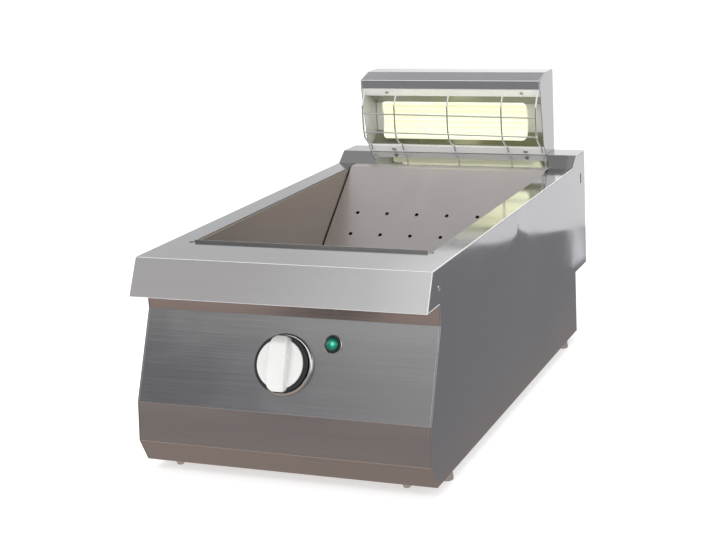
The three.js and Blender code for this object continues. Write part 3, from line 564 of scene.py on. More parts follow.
def loft(name, rings):
    """Skin over rings with the same number of points, its two ends closed."""
    count = len(rings[0])
    points = [p for ring in rings for p in ring]
    faces = []
    for r in range(len(rings) - 1):
        for i in range(count):
            j = (i + 1) % count
            faces.append((r * count + i, r * count + j, (r + 1) * count + j, (r + 1) * count + i))
    faces += [tuple(range(count)), tuple(range((len(rings) - 1) * count, len(rings) * count))]
    return faced_outwards(object_from(name, points, faces))


def box_piece(name, low, high):
    points = [(x, y, z) for x in (low[0], high[0]) for y in (low[1], high[1]) for z in (low[2], high[2])]
    faces = [(0, 1, 3, 2), (4, 6, 7, 5), (0, 4, 5, 1), (2, 3, 7, 6), (0, 2, 6, 4), (1, 5, 7, 3)]
    return faced_outwards(object_from(name, points, faces))


def joined(name, parts):
    mesh = bpy.data.meshes.new(name)
    whole = bmesh.new()
    for part in parts:
        whole.from_mesh(part.data)
        bpy.data.objects.remove(part)
    whole.to_mesh(mesh)
    whole.free()
    return new_object(name, mesh)


# Geometry node trees for what repeats

def new_tree(name, **kinds):
    return new_group(name, {"Geometry": "Geometry", **kinds}, {"Geometry": "Geometry"}, "GeometryNodeTree")


def run_tree(made, group, values):
    """Runs a geometry tree on an object and keeps its result as a plain mesh."""
    modifier = made.modifiers.new(group.name, "NODES")
    modifier.node_group = group
    for item in group.interface.items_tree:
        if item.item_type == "SOCKET" and item.in_out == "INPUT" and item.name in values:
            modifier[item.identifier] = values[item.name]
    return settled(made)


def end_tree(group, geometry, material, leave):
    real = add_node(group, "GeometryNodeRealizeInstances", {0: geometry})
    coloured = add_node(group, "GeometryNodeSetMaterial", {"Geometry": real[0], "Material": material})
    feed(group, leave, {"Geometry": coloured[0]})


def set_copies(group, points, copy, rotation):
    inputs = {"Points": points, "Instance": copy, "Rotation": rotation}
    return add_node(group, "GeometryNodeInstanceOnPoints", inputs)[0]


def make_perforation_tree():
    """Drills a grid of round holes through a sheet."""
    group, enter, leave = new_tree(
        "Perforations", Start="Vector", Across="Vector", Along="Vector", Turn="Vector", Columns="Int",
        Rows="Int", Radius="Float", Depth="Float", Material="Material",
    )
    total = maths(group, "MULTIPLY", enter["Columns"], enter["Rows"])
    points = add_node(group, "GeometryNodeMeshLine", {"Count": total})[0]
    index = add_node(group, "GeometryNodeInputIndex")[0]
    column = maths(group, "MODULO", index, enter["Columns"])
    row = maths(group, "FLOOR", maths(group, "DIVIDE", index, enter["Columns"]), 0)
    first = vectors(group, "ADD", enter["Start"], scaled(group, enter["Across"], column))[0]
    place = vectors(group, "ADD", first, scaled(group, enter["Along"], row))[0]
    spread = add_node(group, "GeometryNodeSetPosition", {"Geometry": points, "Position": place})[0]
    size = {"Vertices": 20, "Radius": enter["Radius"], "Depth": enter["Depth"]}
    drill = add_node(group, "GeometryNodeMeshCylinder", size)[0]
    turn = add_node(group, "FunctionNodeEulerToRotation", {0: enter["Turn"]})[0]
    drills = set_copies(group, spread, drill, turn)
    real = add_node(group, "GeometryNodeRealizeInstances", {0: drills})[0]
    meshes = {"Mesh 1": enter["Geometry"], "Mesh 2": real}
    drilled = add_node(group, "GeometryNodeMeshBoolean", meshes, operation="DIFFERENCE", solver="EXACT")
    end_tree(group, drilled[0], enter["Material"], leave)
    return group


def make_row_tree():
    """Sets copies along a straight row, each turned differently about its own axis."""
    group, enter, leave = new_tree(
        "Row of copies", Copy="Object", Start="Vector", Step="Vector", Turn="Vector", Count="Int",
        Spin="Float", Material="Material",
    )
    way = {"Count": enter["Count"], "Start Location": enter["Start"], "Offset": enter["Step"]}
    line = add_node(group, "GeometryNodeMeshLine", way)[0]
    copy = add_node(group, "GeometryNodeObjectInfo", {"Object": enter["Copy"]})["Geometry"]
    index = add_node(group, "GeometryNodeInputIndex")[0]
    random = {"Max": enter["Spin"], "ID": index, "Seed": 7}
    angle = add_node(group, "FunctionNodeRandomValue", random, data_type="FLOAT")[1]
    own = add_node(group, "ShaderNodeCombineXYZ", {"Z": angle})[0]
    turn = add_node(group, "FunctionNodeEulerToRotation", {0: enter["Turn"]})[0]
    turns = {0: turn, 1: add_node(group, "FunctionNodeEulerToRotation", {0: own})[0]}
    both = add_node(group, "FunctionNodeRotateRotation", turns, rotation_space="LOCAL")[0]
    end_tree(group, set_copies(group, line, copy, both), enter["Material"], leave)
    return group


def make_wire_tree():
    """Draws a round wire along edges, its corners bent to a radius."""
    group, enter, leave = new_tree("Round wire", Radius="Float", Bend="Float", Material="Material")
    path = add_node(group, "GeometryNodeMeshToCurve", {"Mesh": enter["Geometry"]})[0]
    bends = {"Curve": path, "Radius": enter["Bend"], "Count": 4, "Limit Radius": True}
    bent = add_node(group, "GeometryNodeFilletCurve", bends, mode="POLY")[0]
    circle = {"Resolution": 14, "Radius": enter["Radius"]}
    section = add_node(group, "GeometryNodeCurvePrimitiveCircle", circle)[0]
    sweep = {"Curve": bent, "Profile Curve": section, "Fill Caps": True}
    end_tree(group, add_node(group, "GeometryNodeCurveToMesh", sweep)[0], enter["Material"], leave)
    return group


PERFORATIONS = make_perforation_tree()
ROW = make_row_tree()
WIRE = make_wire_tree()


# Finishes

# The top's colour grows brighter towards its right end: painted light.
DECK_STEEL = steel_material(
    "Brushed steel, top", (0.48, 0.48, 0.478), 0.075, GRAIN_X, anisotropy=0.4, painted_light_and_shade=(0, 0.12, 0.19, 1, 1.2),
)
LEDGE_STEEL = steel_material("Brushed steel, ledge", (0.54, 0.54, 0.53), 0.075, GRAIN_X, anisotropy=0.4)
FRONT_STEEL = steel_material(
    "Brushed steel, front", (0.50, 0.50, 0.505), 0.17, GRAIN_X, depth=0.18, contrast=0.13,
)
SIDE_STEEL = steel_material(
    "Brushed steel, sides", (0.45, 0.447, 0.468), 0.075, GRAIN_Y, anisotropy=0.3, dents=panel_dents,
)
# Lighter copies of the steel carried by the bevels on the outside of bends and rims: painted highlights.
BEND_HIGHLIGHT_STEEL = steel_material("Steel, bends, painted highlight", (0.80, 0.80, 0.80), 0.2, GRAIN_X, anisotropy=0)
EDGE_HIGHLIGHT_STEEL = steel_material("Steel, edges, painted highlight", (0.86, 0.86, 0.86), 0.3, GRAIN_X, anisotropy=0, metal=0.3)
LIP_STEEL = steel_material("Satin steel, lip", (0.5, 0.5, 0.49), 0.25, GRAIN_X, anisotropy=0)
HOOD_STEEL = steel_material("Brushed steel, hood", (0.73, 0.73, 0.745), 0.12, GRAIN_X)
BACK_STEEL = steel_material("Brushed steel, back", (0.5, 0.495, 0.49), 0.24, GRAIN_X)
# The well's and the drain's warm tints stand in for the warm light they reflect: painted reflection.
WELL_STEEL = steel_material(
    "Satin steel, well", (0.42, 0.375, 0.335), 0.3, GRAIN_Y, depth=0.08, anisotropy=0.3,
)
# The drain's colour is darker low down and lighter high up: painted shade and painted light.
DRAIN_STEEL = steel_material(
    "Satin steel, drain", (0.62, 0.585, 0.57), 0.32, GRAIN_Y, depth=0.08, anisotropy=0.3,
    painted_light_and_shade=(2, 0.13, 0.29, 0.92, 1.3),
)
# Near white, low in metal and glowing faintly white though they are no lamp: painted light on the guard's
# rails.
RAIL_GLOWING_STEEL = steel_material(
    "Steel, rails, painted glow", (0.92, 0.91, 0.90), 0.3, GRAIN_X, metal=0.15, glow=0.13,
)
# Near white and low in metal, a lighter copy of the steel on the reflector's back and the cheeks' inner
# faces: painted light.
REFLECTOR_LIT_STEEL = steel_material(
    "Steel, reflector, painted light", (0.88, 0.88, 0.87), 0.3, GRAIN_X, contrast=0.1, metal=0.2,
)
# Darker, yellowish copy of the reflector's steel on its slants above and below the emitter: painted shade.
SLANT_SHADED_STEEL = steel_material("Steel, slants, painted shade", (0.48, 0.48, 0.42), 0.25, GRAIN_X, contrast=0.1)
CHROME = plain_material("Chrome", (0.78, 0.78, 0.77), 0.07, metallic=1, speckle=0.01)
ZINC = plain_material("Plated steel", (0.56, 0.56, 0.55), 0.3, metallic=1, speckle=0.08)
WHITE_CAP = plain_material(
    "White enamel", (0.84, 0.84, 0.83), 0.24, speckle=0.01, grit=0.01, Coat_Weight=0.4,
)
BLACK = plain_material("Black moulding", (0.018, 0.018, 0.02), 0.38, speckle=0.15, grit=0.1)
GREY = plain_material("Grey moulding", (0.3, 0.3, 0.29), 0.5, grit=0.1)
STEATITE = plain_material("White ceramic block", (0.8, 0.79, 0.74), 0.45, grit=0.1)
BRASS = plain_material("Brass", (0.62, 0.46, 0.2), 0.26, metallic=1, speckle=0.05)
SILICONE = plain_material("Silicone", (0.36, 0.09, 0.045), 0.55, speckle=0.08, grit=0.15)
CERAMIC = ceramic_material()
LENS = lens_material()

ALONG_X = (1, 0, 0)
ALONG_Y = (0, 1, 0)


# Sheet-metal pieces: node, finish, finish of its bends (a painted highlight on most of them), slot, way of
# its grain, fold radius

SHEETS = [
    ("worktop", DECK_STEEL, EDGE_HIGHLIGHT_STEEL, "steel", ALONG_X, DECK_FOLD),
    ("rear_ledge", LEDGE_STEEL, BEND_HIGHLIGHT_STEEL, "steel", ALONG_X, FOLD_RADIUS),
    ("side_panel_left", SIDE_STEEL, BEND_HIGHLIGHT_STEEL, "panel_steel", ALONG_Y, SIDE_FOLD),
    ("side_panel_right", SIDE_STEEL, BEND_HIGHLIGHT_STEEL, "panel_steel", ALONG_Y, SIDE_FOLD),
    ("front_panel", FRONT_STEEL, BEND_HIGHLIGHT_STEEL, "panel_steel", ALONG_X, FOLD_RADIUS),
    ("base_tray", BACK_STEEL, BEND_HIGHLIGHT_STEEL, "steel", ALONG_X, FOLD_RADIUS),
    ("lower_back_panel", BACK_STEEL, BEND_HIGHLIGHT_STEEL, "steel", ALONG_X, FOLD_RADIUS),
    ("rear_box_cover", BACK_STEEL, BEND_HIGHLIGHT_STEEL, "steel", ALONG_X, FOLD_RADIUS),
    ("basin", WELL_STEEL, LIP_STEEL, "well_steel", ALONG_Y, FOLD_RADIUS),
    ("hood_shell", HOOD_STEEL, EDGE_HIGHLIGHT_STEEL, "steel", ALONG_X, HOOD_FOLD),
    ("hood_cheek_left", SIDE_STEEL, REFLECTOR_LIT_STEEL, "steel", ALONG_Y, CHEEK_FOLD),
    ("hood_cheek_right", SIDE_STEEL, REFLECTOR_LIT_STEEL, "steel", ALONG_Y, CHEEK_FOLD),
    ("guard_upper_rail", RAIL_GLOWING_STEEL, RAIL_GLOWING_STEEL, "steel", ALONG_X, RAIL_FOLD),
    ("guard_lower_rail", RAIL_GLOWING_STEEL, RAIL_GLOWING_STEEL, "steel", ALONG_X, RAIL_FOLD),
    ("reflector", SLANT_SHADED_STEEL, REFLECTOR_LIT_STEEL, "bright_steel", ALONG_X, RAIL_FOLD),
]

# Basin's front lip, seen on the deck: its depth below the top and its reach from the front
LIP_HEIGHT = 14 * MM
LIP_REACH = 22 * MM


def on_lip(face):
    return face.center.z > BASIN_HIGH.z - LIP_HEIGHT and face.center.y < BASIN_LOW.y + LIP_REACH


def faces_inwards(face):
    return face.normal.x * face.center.x < 0 and abs(face.normal.x) > 0.9


# Faces that carry a piece's second finish instead of its bends; on the hood's cheeks and the reflector's back
# this is the lighter steel, a painted light
SECOND_FINISH = {
    "basin": on_lip,
    "hood_cheek_left": faces_inwards,
    "hood_cheek_right": faces_inwards,
    "reflector": lambda face: abs(face.normal.y) > 0.8,
}
for node, material, second, slot, grain, fold in SHEETS:
    made = refined(node, node.capitalize(), fold, bend=second)
    hand_over(made, material, (node,), grain=grain, bend=second)
    if node in SECOND_FINISH:
        for face in made.data.polygons:
            face.material_index = int(SECOND_FINISH[node](face))


# Drain ramp and drain floor, drilled with round holes

COLUMNS = 6
COLUMN_PITCH = 50 * MM
FIRST_COLUMN = -(COLUMNS - 1) / 2 * COLUMN_PITCH
HOLE_RADIUS = 3 * MM
DRILL_DEPTH = 6 * MM
RAMP_ROWS = 3
FIRST_ROW = 95 * MM
ROW_PITCH = 42 * MM
RAMP_FOOT = 10 * MM
RAMP_FLANGE = 22 * MM
RAMP_BEND = 3 * MM
FLOOR_ROWS = 6
FLOOR_BEND = 2 * MM


def drilled(made, start, along, turn, rows):
    run_tree(made, PERFORATIONS, {
        "Start": start, "Across": (COLUMN_PITCH, 0, 0), "Along": along, "Turn": turn, "Columns": COLUMNS,
        "Rows": rows, "Radius": HOLE_RADIUS, "Depth": DRILL_DEPTH, "Material": DRAIN_STEEL,
    })
    return bevelled(made, BURR_RADIUS, 2, radians(40))


def make_ramp():
    low, high = RAMP_LOW, RAMP_HIGH
    foot = Vector((low.y + RAMP_FOOT, low.z + THIN))
    bend = Vector((high.y - RAMP_FLANGE, high.z))
    line = rounded_line([(low.y, foot.y), foot, bend, (high.y, high.z)], RAMP_BEND)
    made = bent_sheet("Drain_ramp", line, THIN, low.x, high.x, lambda x, y, z: (x, y, z))
    way = (foot - bend).normalized()
    first = bend + way * FIRST_ROW
    pitch = way * ROW_PITCH
    slope = atan2(bend.y - foot.y, bend.x - foot.x)
    return drilled(made, (FIRST_COLUMN, first.x, first.y), (0, pitch.x, pitch.y), (slope, 0, 0), RAMP_ROWS)


def make_drain_floor():
    low, high = FLOOR_LOW, FLOOR_HIGH
    line = rounded_line([(low.x, low.z), (low.x, high.z), (high.x, high.z), (high.x, low.z)], FLOOR_BEND)
    made = bent_sheet("Drain_floor", line, THIN, low.y, high.y, lambda y, x, z: (x, y, z))
    pitch = (high.y - low.y) / FLOOR_ROWS
    return drilled(made, (FIRST_COLUMN, low.y + pitch / 2, high.z), (0, pitch, 0), (0, 0, 0), FLOOR_ROWS)


hand_over(make_ramp(), DRAIN_STEEL, ("drain_ramp",), "ramp", ALONG_Y)
hand_over(make_drain_floor(), DRAIN_STEEL, ("drain_floor",), "floor_plate", ALONG_Y)


# Ceramic emitter: a ribbed trough and the neck that carries it

EMITTER_MIDDLE = (EMITTER_HIGH.z + EMITTER_LOW.z) / 2
TROUGH_SAG = 9 * MM
TROUGH_THICKNESS = 8 * MM
TROUGH_CORNER = 7 * MM
TROUGH_STEPS = 56
TROUGH_ROWS = 96
ROWS_TO_A_BACK_POINT = 6
BACK_SHARE = 0.98
RIB_COUNT = 7
RIB_DEPTH = 0.9 * MM
RIB_FOOT = 1.2 * MM
RIM_ROLL = 1.5 * MM
RIM_WIDTH = 3 * MM
END_WIDTH = 5 * MM
NECK_HALF_LENGTH = 20 * MM
NECK_HALF_HEIGHT = 6.5 * MM
NECK_DEPTH = 36 * MM
NECK_EASE = 1.5 * MM


def make_emitter():
    half_length, half_height = EMITTER_HIGH.x, (EMITTER_HIGH.z - EMITTER_LOW.z) / 2
    radius = (half_height ** 2 + TROUGH_SAG ** 2) / (2 * TROUGH_SAG)

    def height_at(x):
        over = max(0, abs(x) - (half_length - TROUGH_CORNER))
        return half_height - TROUGH_CORNER + sqrt(max(0, TROUGH_CORNER ** 2 - over ** 2))

    def dish(z):
        return EMITTER_LOW.y + sqrt(radius ** 2 - z ** 2) - (radius - TROUGH_SAG)

    def section(step):
        """Closed ring round the trough at one station along it."""
        x = half_length * sin(pi / 2 * (2 * step / TROUGH_STEPS - 1))
        tall = height_at(x)
        inset = min(1, (half_length - abs(x)) / END_WIDTH)
        ring = []
        for row in range(TROUGH_ROWS + 1):
            z = tall * (2 * row / TROUGH_ROWS - 1)
            crest = max(0, cos(pi * RIB_COUNT * z / half_height)) ** 0.7
            rim = max(0, 1 - (tall - abs(z)) / RIM_WIDTH)
            rolled = RIM_ROLL * (rim ** 2 + (1 - inset) ** 2)
            ring.append((x, dish(z) + RIB_FOOT - RIB_DEPTH * crest * inset + rolled, EMITTER_MIDDLE + z))
        for row in range(TROUGH_ROWS, -1, -ROWS_TO_A_BACK_POINT):
            z = tall * (2 * row / TROUGH_ROWS - 1) * BACK_SHARE
            back = TROUGH_THICKNESS - RIM_ROLL * (1 - inset)
            ring.append((x, dish(z) + back, EMITTER_MIDDLE + z))
        return ring

    return loft("Ceramic_emitter", [section(step) for step in range(TROUGH_STEPS + 1)])


def make_emitter_neck():
    low = (-NECK_HALF_LENGTH, EMITTER_HIGH.y - NECK_DEPTH, EMITTER_MIDDLE - NECK_HALF_HEIGHT)
    high = (NECK_HALF_LENGTH, EMITTER_HIGH.y, EMITTER_MIDDLE + NECK_HALF_HEIGHT)
    return bevelled(box_piece("Emitter_neck", low, high), NECK_EASE)


hand_over(make_emitter(), CERAMIC, ("ceramic_emitter",))
hand_over(make_emitter_neck(), CERAMIC)


# Copies in a row, for weld beads and screws

def set_out(name, copy, start, step, turn, count, spin):
    """A row of copies; start and step are millimetres across, forward of the case's back and up."""
    copy.hide_render = True
    return run_tree(new_object(name, bpy.data.meshes.new(name)), ROW, {
        "Copy": copy, "Start": case_place(*start), "Step": (step[0] * MM, -step[1] * MM, step[2] * MM),
        "Turn": turn, "Count": count, "Spin": spin, "Material": CHROME,
    })


# Wire guard: an upright's bends as millimetres forward of the case's back and above the counter
GUARD_PATH = [
    (74.3, 401), (78.5, 393.6), (88, 379.4), (88, 342), (84.5, 327), (72.5, 316.3), (60.2, 312.2),
    (54.3, 301.5),
]
GUARD_COLUMNS = (-145, -90, 0, 90, 146.5)
# Cross wires: heights of the left and the right end
GUARD_ROWS = ((366, 362), (336, 332))
ROW_FORWARD = 86.7
ROW_HALF = 145
UPRIGHT_RADIUS = 1.4 * MM
ROW_RADIUS = 1.2 * MM
WIRE_BEND = 5 * MM
BEAD_OUTLINE = [(0, -1.9), (1.2, -1.5), (1.8, -0.6), (1.8, 0.6), (1.2, 1.5), (0, 1.9)]
BEAD_FORWARD = ROW_FORWARD + 0.5


def wire(name, lines, radius):
    points, edges = [], []
    for line in lines:
        edges += [(len(points) + i, len(points) + i + 1) for i in range(len(line) - 1)]
        points += line
    made = object_from(name, [case_place(*point) for point in points], [], edges)
    return run_tree(made, WIRE, {"Radius": radius, "Bend": WIRE_BEND, "Material": CHROME})


def make_guard():
    """Uprights hooked over both rails and cross wires, welded where they meet."""
    bends = [[(x, forward, up) for forward, up in GUARD_PATH] for x in GUARD_COLUMNS]
    rows = [[(-ROW_HALF, ROW_FORWARD, left), (ROW_HALF, ROW_FORWARD, right)] for left, right in GUARD_ROWS]
    wires = [wire("Guard_uprights", bends, UPRIGHT_RADIUS), wire("Guard_rows", rows, ROW_RADIUS)]
    bead = turned("Weld_bead", BEAD_OUTLINE, 10)
    beads = []
    for left, right in GUARD_ROWS:
        for x in GUARD_COLUMNS:
            up = left + (right - left) * (x + ROW_HALF) / (2 * ROW_HALF)
            beads.append(set_out("Weld", bead, (x, BEAD_FORWARD, up), (0, 0, 0), (0.9, 0, 0), 1, 0.0))
    bpy.data.objects.remove(bead)
    return joined("Wire_guard", wires + beads)


hand_over(make_guard(), CHROME, ("wire_guard",))


# Heat knob and its bezel: heights above the control panel's face and radii, in millimetres

FLANGE_RADIUS = 36
FLANGE_FOOT = 8
FLANGE_TOP = 11.5
SKIRT_RADIUS = 31
SKIRT_FOOT = 4.5
BORE_RADIUS = 3.3
CAP_RADIUS = 31
CAP_FOOT = FLANGE_TOP + 0.3
CAP_TOP = 14.6
GRIP_REACH = 34.5
GRIP_SHOULDER = 21
GRIP_HALF = 12.5
GRIP_TAPER = 1.2
GRIP_FOOT = FLANGE_TOP + 0.5
GRIP_TOP = 25
GRIP_TIP_TOP = 16.5
GRIP_SOFT = 3.2
GRIP_DRAFT = 0.4
GRIP_CROWN = 0.5
GRIP_CROWN_SHARE = 0.35
GRIP_STATIONS = 40
GRIP_EASE = 0.6 * MM
TRIM_RADIUS = 33.5
SHAFT_RADIUS = 3
BEZEL_RADIUS = 39
BEZEL_BORE = 11
FINE = 72


def eased(inner, outer, foot, top, ease):
    """Outline of a ring or a bar whose outer corners are cut back."""
    return [
        (inner, foot), (outer - ease, foot), (outer, foot + ease), (outer, top - ease), (outer - ease, top),
        (inner, top),
    ]


def make_grip():
    """Wide bar across the cap, its tips over the black flange."""
    rings = []
    for station in range(GRIP_STATIONS + 1):
        y = GRIP_REACH * sin(pi / 2 * (2 * station / GRIP_STATIONS - 1))
        tip = max(0, (abs(y) - GRIP_SHOULDER) / (GRIP_REACH - GRIP_SHOULDER))
        half = (GRIP_HALF - GRIP_TAPER * tip) * (1 - 0.42 * max(0, (tip - 0.6) / 0.4) ** 2.2)
        top = GRIP_TOP - (GRIP_TOP - GRIP_TIP_TOP) * tip ** 1.7
        soft = min(GRIP_SOFT, (top - GRIP_FOOT) / 2)
        ring = [(-half - GRIP_DRAFT, y, GRIP_FOOT), (-half, y, top - soft)]
        for k in range(1, 6):
            angle = pi / 2 * k / 5
            ring.append((-half + soft * (1 - cos(angle)), y, top - soft * (1 - sin(angle))))
        crown = half * GRIP_CROWN_SHARE
        ring += [(-crown, y, top - GRIP_CROWN), (crown, y, top - GRIP_CROWN)]
        ring += [(-p[0], p[1], p[2]) for p in reversed(ring[:-2])]
        rings.append([tuple(v * MM for v in p) for p in ring])
    return bevelled(loft("Grip", rings), GRIP_EASE, 2, radians(50))


def make_knob():
    cap = turned("Knob_cap", [
        (0, CAP_FOOT), (CAP_RADIUS - 0.6, CAP_FOOT), (CAP_RADIUS, CAP_FOOT + 0.5), (CAP_RADIUS, CAP_TOP - 1),
        (CAP_RADIUS - 0.4, CAP_TOP - 0.3), (CAP_RADIUS - 1.2, CAP_TOP), (0, CAP_TOP),
    ], FINE)
    return moved(joined("Knob_cap", [cap, make_grip()]), KNOB_FRAME)


# Outlines of the knob's turned parts and of the bezel round it
KNOB_SKIRT = [
    (BORE_RADIUS, SKIRT_FOOT), (SKIRT_RADIUS - 0.6, SKIRT_FOOT), (SKIRT_RADIUS, SKIRT_FOOT + 0.6),
    (SKIRT_RADIUS, FLANGE_FOOT - 0.4), (SKIRT_RADIUS + 0.4, FLANGE_FOOT),
    (FLANGE_RADIUS - 0.8, FLANGE_FOOT + 0.4), (FLANGE_RADIUS, FLANGE_FOOT + 1.2),
    (FLANGE_RADIUS, FLANGE_TOP - 0.7), (FLANGE_RADIUS - 0.6, FLANGE_TOP), (0, FLANGE_TOP),
    (0, FLANGE_TOP - 2), (BORE_RADIUS, FLANGE_TOP - 2),
]
TRIM_RING = eased(SKIRT_RADIUS + 0.1, TRIM_RADIUS, 5.2, 7.6, 0.4)
KNOB_BEZEL = [
    (BEZEL_BORE, 0.3), (BEZEL_RADIUS - 0.4, 0.3), (BEZEL_RADIUS, 0.7), (38.9, 1.6), (38.3, 2.8),
    (37.2, 3.7), (36.2, 4), (35.8, 4), (35.2, 3.6), (35, 3), (34.6, 1.8), (34, 1.5), (BEZEL_BORE, 1.5),
]
SHAFT = eased(0, SHAFT_RADIUS, -15.7, 9.2, 0.4)

# Outlines of the pilot lamp's parts
PILOT_LENS = [
    (0, 1.3), (8.1, 1.3), (8.5, 1.7), (8.5, 4.3), (8.35, 5.1), (7.9, 6), (7.0, 7.1), (5.7, 8.1), (4.1, 8.9),
    (2.1, 9.4), (0, 9.5),
]
PILOT_BEZEL = [
    (8.7, 0.3), (10.5, 0.3), (10.5, 3), (10.2, 3.6), (9.8, 3.8), (9.2, 3.8), (8.8, 3.5), (8.7, 3.1),
]
PILOT_RING = [
    (10.7, 0.3), (11.8, 0.3), (12, 0.5), (12, 1), (11.6, 1.4), (11.2, 1.5), (10.9, 1.4), (10.7, 1.1),
]

# Name, frame, outline, sides, finish, slot, body
CONTROLS = [
    ("Knob_skirt", KNOB_FRAME, KNOB_SKIRT, FINE, BLACK, "black_plastic", "knob"),
    ("Knob_trim_ring", KNOB_FRAME, TRIM_RING, FINE, CHROME, "bright_steel", "knob"),
    ("Knob_bezel", KNOB_FRAME, KNOB_BEZEL, FINE, CHROME, "bright_steel", "case"),
    ("Regulator_shaft", KNOB_FRAME, SHAFT, 24, ZINC, "steel", "knob"),
    ("Pilot_lens", LENS_FRAME, PILOT_LENS, 48, LENS, "green_lens", "case"),
    ("Pilot_bezel", LENS_FRAME, PILOT_BEZEL, 48, BLACK, "black_plastic", "case"),
    ("Pilot_ring", LENS_FRAME, PILOT_RING, 48, CHROME, "bright_steel", "case"),
]
hand_over(make_knob(), WHITE_CAP, ("knob_cap",), "knob")
for name, panel_frame, outline, sides, material, slot, body in CONTROLS:
    made = moved(turned(name, outline, sides), panel_frame)
    hand_over(made, material, (name.lower(),), body)


# Levelling feet: heights above the counter and radii, in millimetres

THREAD_FOOT = 14.5
THREAD_PITCH = 1.25
THREAD_TURNS = 24
THREAD_ROOT = 3.55
THREAD_RADIUS = 4
STUD_TOP = 45
PAD_OUTLINE = [
    (0, 0), (7.6, 0), (8.2, 0.4), (8.5, 1.2), (8.45, 2), (7.75, 9.6), (7.6, 10.4), (7.1, 10.9), (6.6, 11),
    (6.6, 14), (THREAD_RADIUS, 14),
]


def at_middle(made, node, height):
    low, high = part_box(node)
    return moved(made, Matrix.Translation(((low.x + high.x) / 2, (low.y + high.y) / 2, height)))


def make_foot(place):
    thread = []
    for i in range(THREAD_TURNS):
        height = THREAD_FOOT + i * THREAD_PITCH
        thread += [(THREAD_ROOT, height), (THREAD_RADIUS, height + 0.62)]
    outline = PAD_OUTLINE + thread + [(3.2, STUD_TOP), (0, STUD_TOP)]
    return at_middle(turned(f"Foot_{place}", outline, 36), f"foot_{place}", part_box(f"foot_{place}")[0].z)


FOOT_PLACES = ("front_left", "front_right", "rear_left", "rear_right")
for place in FOOT_PLACES:
    hand_over(make_foot(place), CHROME, (f"foot_{place}",), f"{place}_foot")


# Screws: one head for each kind, set out in rows

# Pan head's rounding and cross recess as shares of its radius and height
HEAD_SHARES = [(0.97, 0), (1, 0.15), (0.96, 0.5), (0.8, 0.82), (0.5, 0.97), (0, 1)]
SHANK_SHARE = 0.5
RECESS_SHARES = (0.62, 0.13)
RECESS_DEPTH_SHARE = 0.6
FORWARDS = radians(90)
UP_RAIL_TILT = radians(135)
LOW_RAIL_TILT = radians(121)
SIDE_SCREW_ACROSS = 198.6

# Name, head radius, head height, first place (across, forward of the back plane, up), step, turn, count
SCREWS = [
    ("Upper_rail_screws", 3.4, 1.8, (-109, 67.8, 398), (227, 0, 0), (UP_RAIL_TILT, 0, 0), 2),
    ("Lower_rail_screws", 4.2, 2.4, (-107, 53.4, 303.6), (225, 0, 0), (LOW_RAIL_TILT, 0, 0), 2),
    ("Cover_screws_top", 4, 2.4, (-180, 2.2, 284), (120, 0, 0), (-FORWARDS, 0, 0), 4),
    ("Cover_screws_bottom", 4, 2.4, (-180, 2.2, 126), (120, 0, 0), (-FORWARDS, 0, 0), 4),
    ("Lower_back_screws", 4, 2.4, (-186, 68.1, 96), (124, 0, 0), (-FORWARDS, 0, 0), 4),
    ("Side_screws_right", 3.6, 1.3, (SIDE_SCREW_ACROSS, SIDE_SCREW_FORWARD, SIDE_SCREW_UP), (0, 320, 0),
     (0, FORWARDS, 0), 2),
    ("Side_screws_left", 3.6, 1.3, (-SIDE_SCREW_ACROSS, SIDE_SCREW_FORWARD, SIDE_SCREW_UP), (0, 320, 0),
     (0, -FORWARDS, 0), 2),
]
SCREW_SPIN = 1.5


def make_head(radius, height):
    """Pan head with a cross recess, its seat on z = 0."""
    shank = radius * SHANK_SHARE
    rounding = [(radius * across, height * up) for across, up in HEAD_SHARES]
    head = turned("Head", [(0, -1), (shank, -1), (shank, 0)] + rounding, 24)
    floor = (height - height * RECESS_DEPTH_SHARE) * MM
    for size in (RECESS_SHARES, RECESS_SHARES[::-1]):
        x, y = (radius * share * MM for share in size)
        head = cut_out(head, box_piece("Recess", (-x, -y, floor), (x, y, (height + 1) * MM)))
    return head


for name, radius, height, start, step, turn, count in SCREWS:
    head = make_head(radius, height)
    row = set_out(name, head, start, step, turn, count, SCREW_SPIN)
    bpy.data.objects.remove(head)
    hand_over(row, CHROME)

# Domed screws up into the front flange: head below the seat, shank above it, in millimetres
DOME_HEIGHT = 6.2
DOME_OUTLINE = [
    (0, -DOME_HEIGHT), (3, -6.1), (4.4, -5.3), (5.2, -3.6), (5.5, -1.6), (5.5, 0), (2.4, 0), (2.4, 9), (0, 9),
]
for side in ("left", "right"):
    node = f"plinth_screw_{side}"
    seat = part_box(node)[0].z + DOME_HEIGHT * MM
    screw = at_middle(turned(node.capitalize(), DOME_OUTLINE, 28), node, seat)
    hand_over(screw, CHROME, (node,))


# Conduit, gland and earth stud: outlines in millimetres

CONDUIT_CREST = 9.5
CONDUIT_TROUGH = 8.3
CONDUIT_PITCH = 2.4
BACKWARDS = Matrix.Rotation(radians(-90), 4, "X")


def make_conduit():
    low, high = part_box("hood_conduit")
    length = (high.z - low.z) / MM
    outline = [(0, 0)]
    for i in range(round(length / CONDUIT_PITCH)):
        start = i * CONDUIT_PITCH
        outline += [
            (CONDUIT_TROUGH, start), (CONDUIT_CREST, start + 0.3 * CONDUIT_PITCH),
            (CONDUIT_CREST, start + 0.6 * CONDUIT_PITCH),
        ]
    outline += [(CONDUIT_TROUGH, length), (0, length)]
    return at_middle(turned("Hood_conduit", outline, 32), "hood_conduit", low.z)


def on_back(made, node):
    """Sets a piece turned about Z on the lower back panel, its Z pointing backwards."""
    low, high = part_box(node)
    place = Matrix.Translation(((low.x + high.x) / 2, BACK_HIGH.y, (low.z + high.z) / 2))
    return moved(made, place @ BACKWARDS)


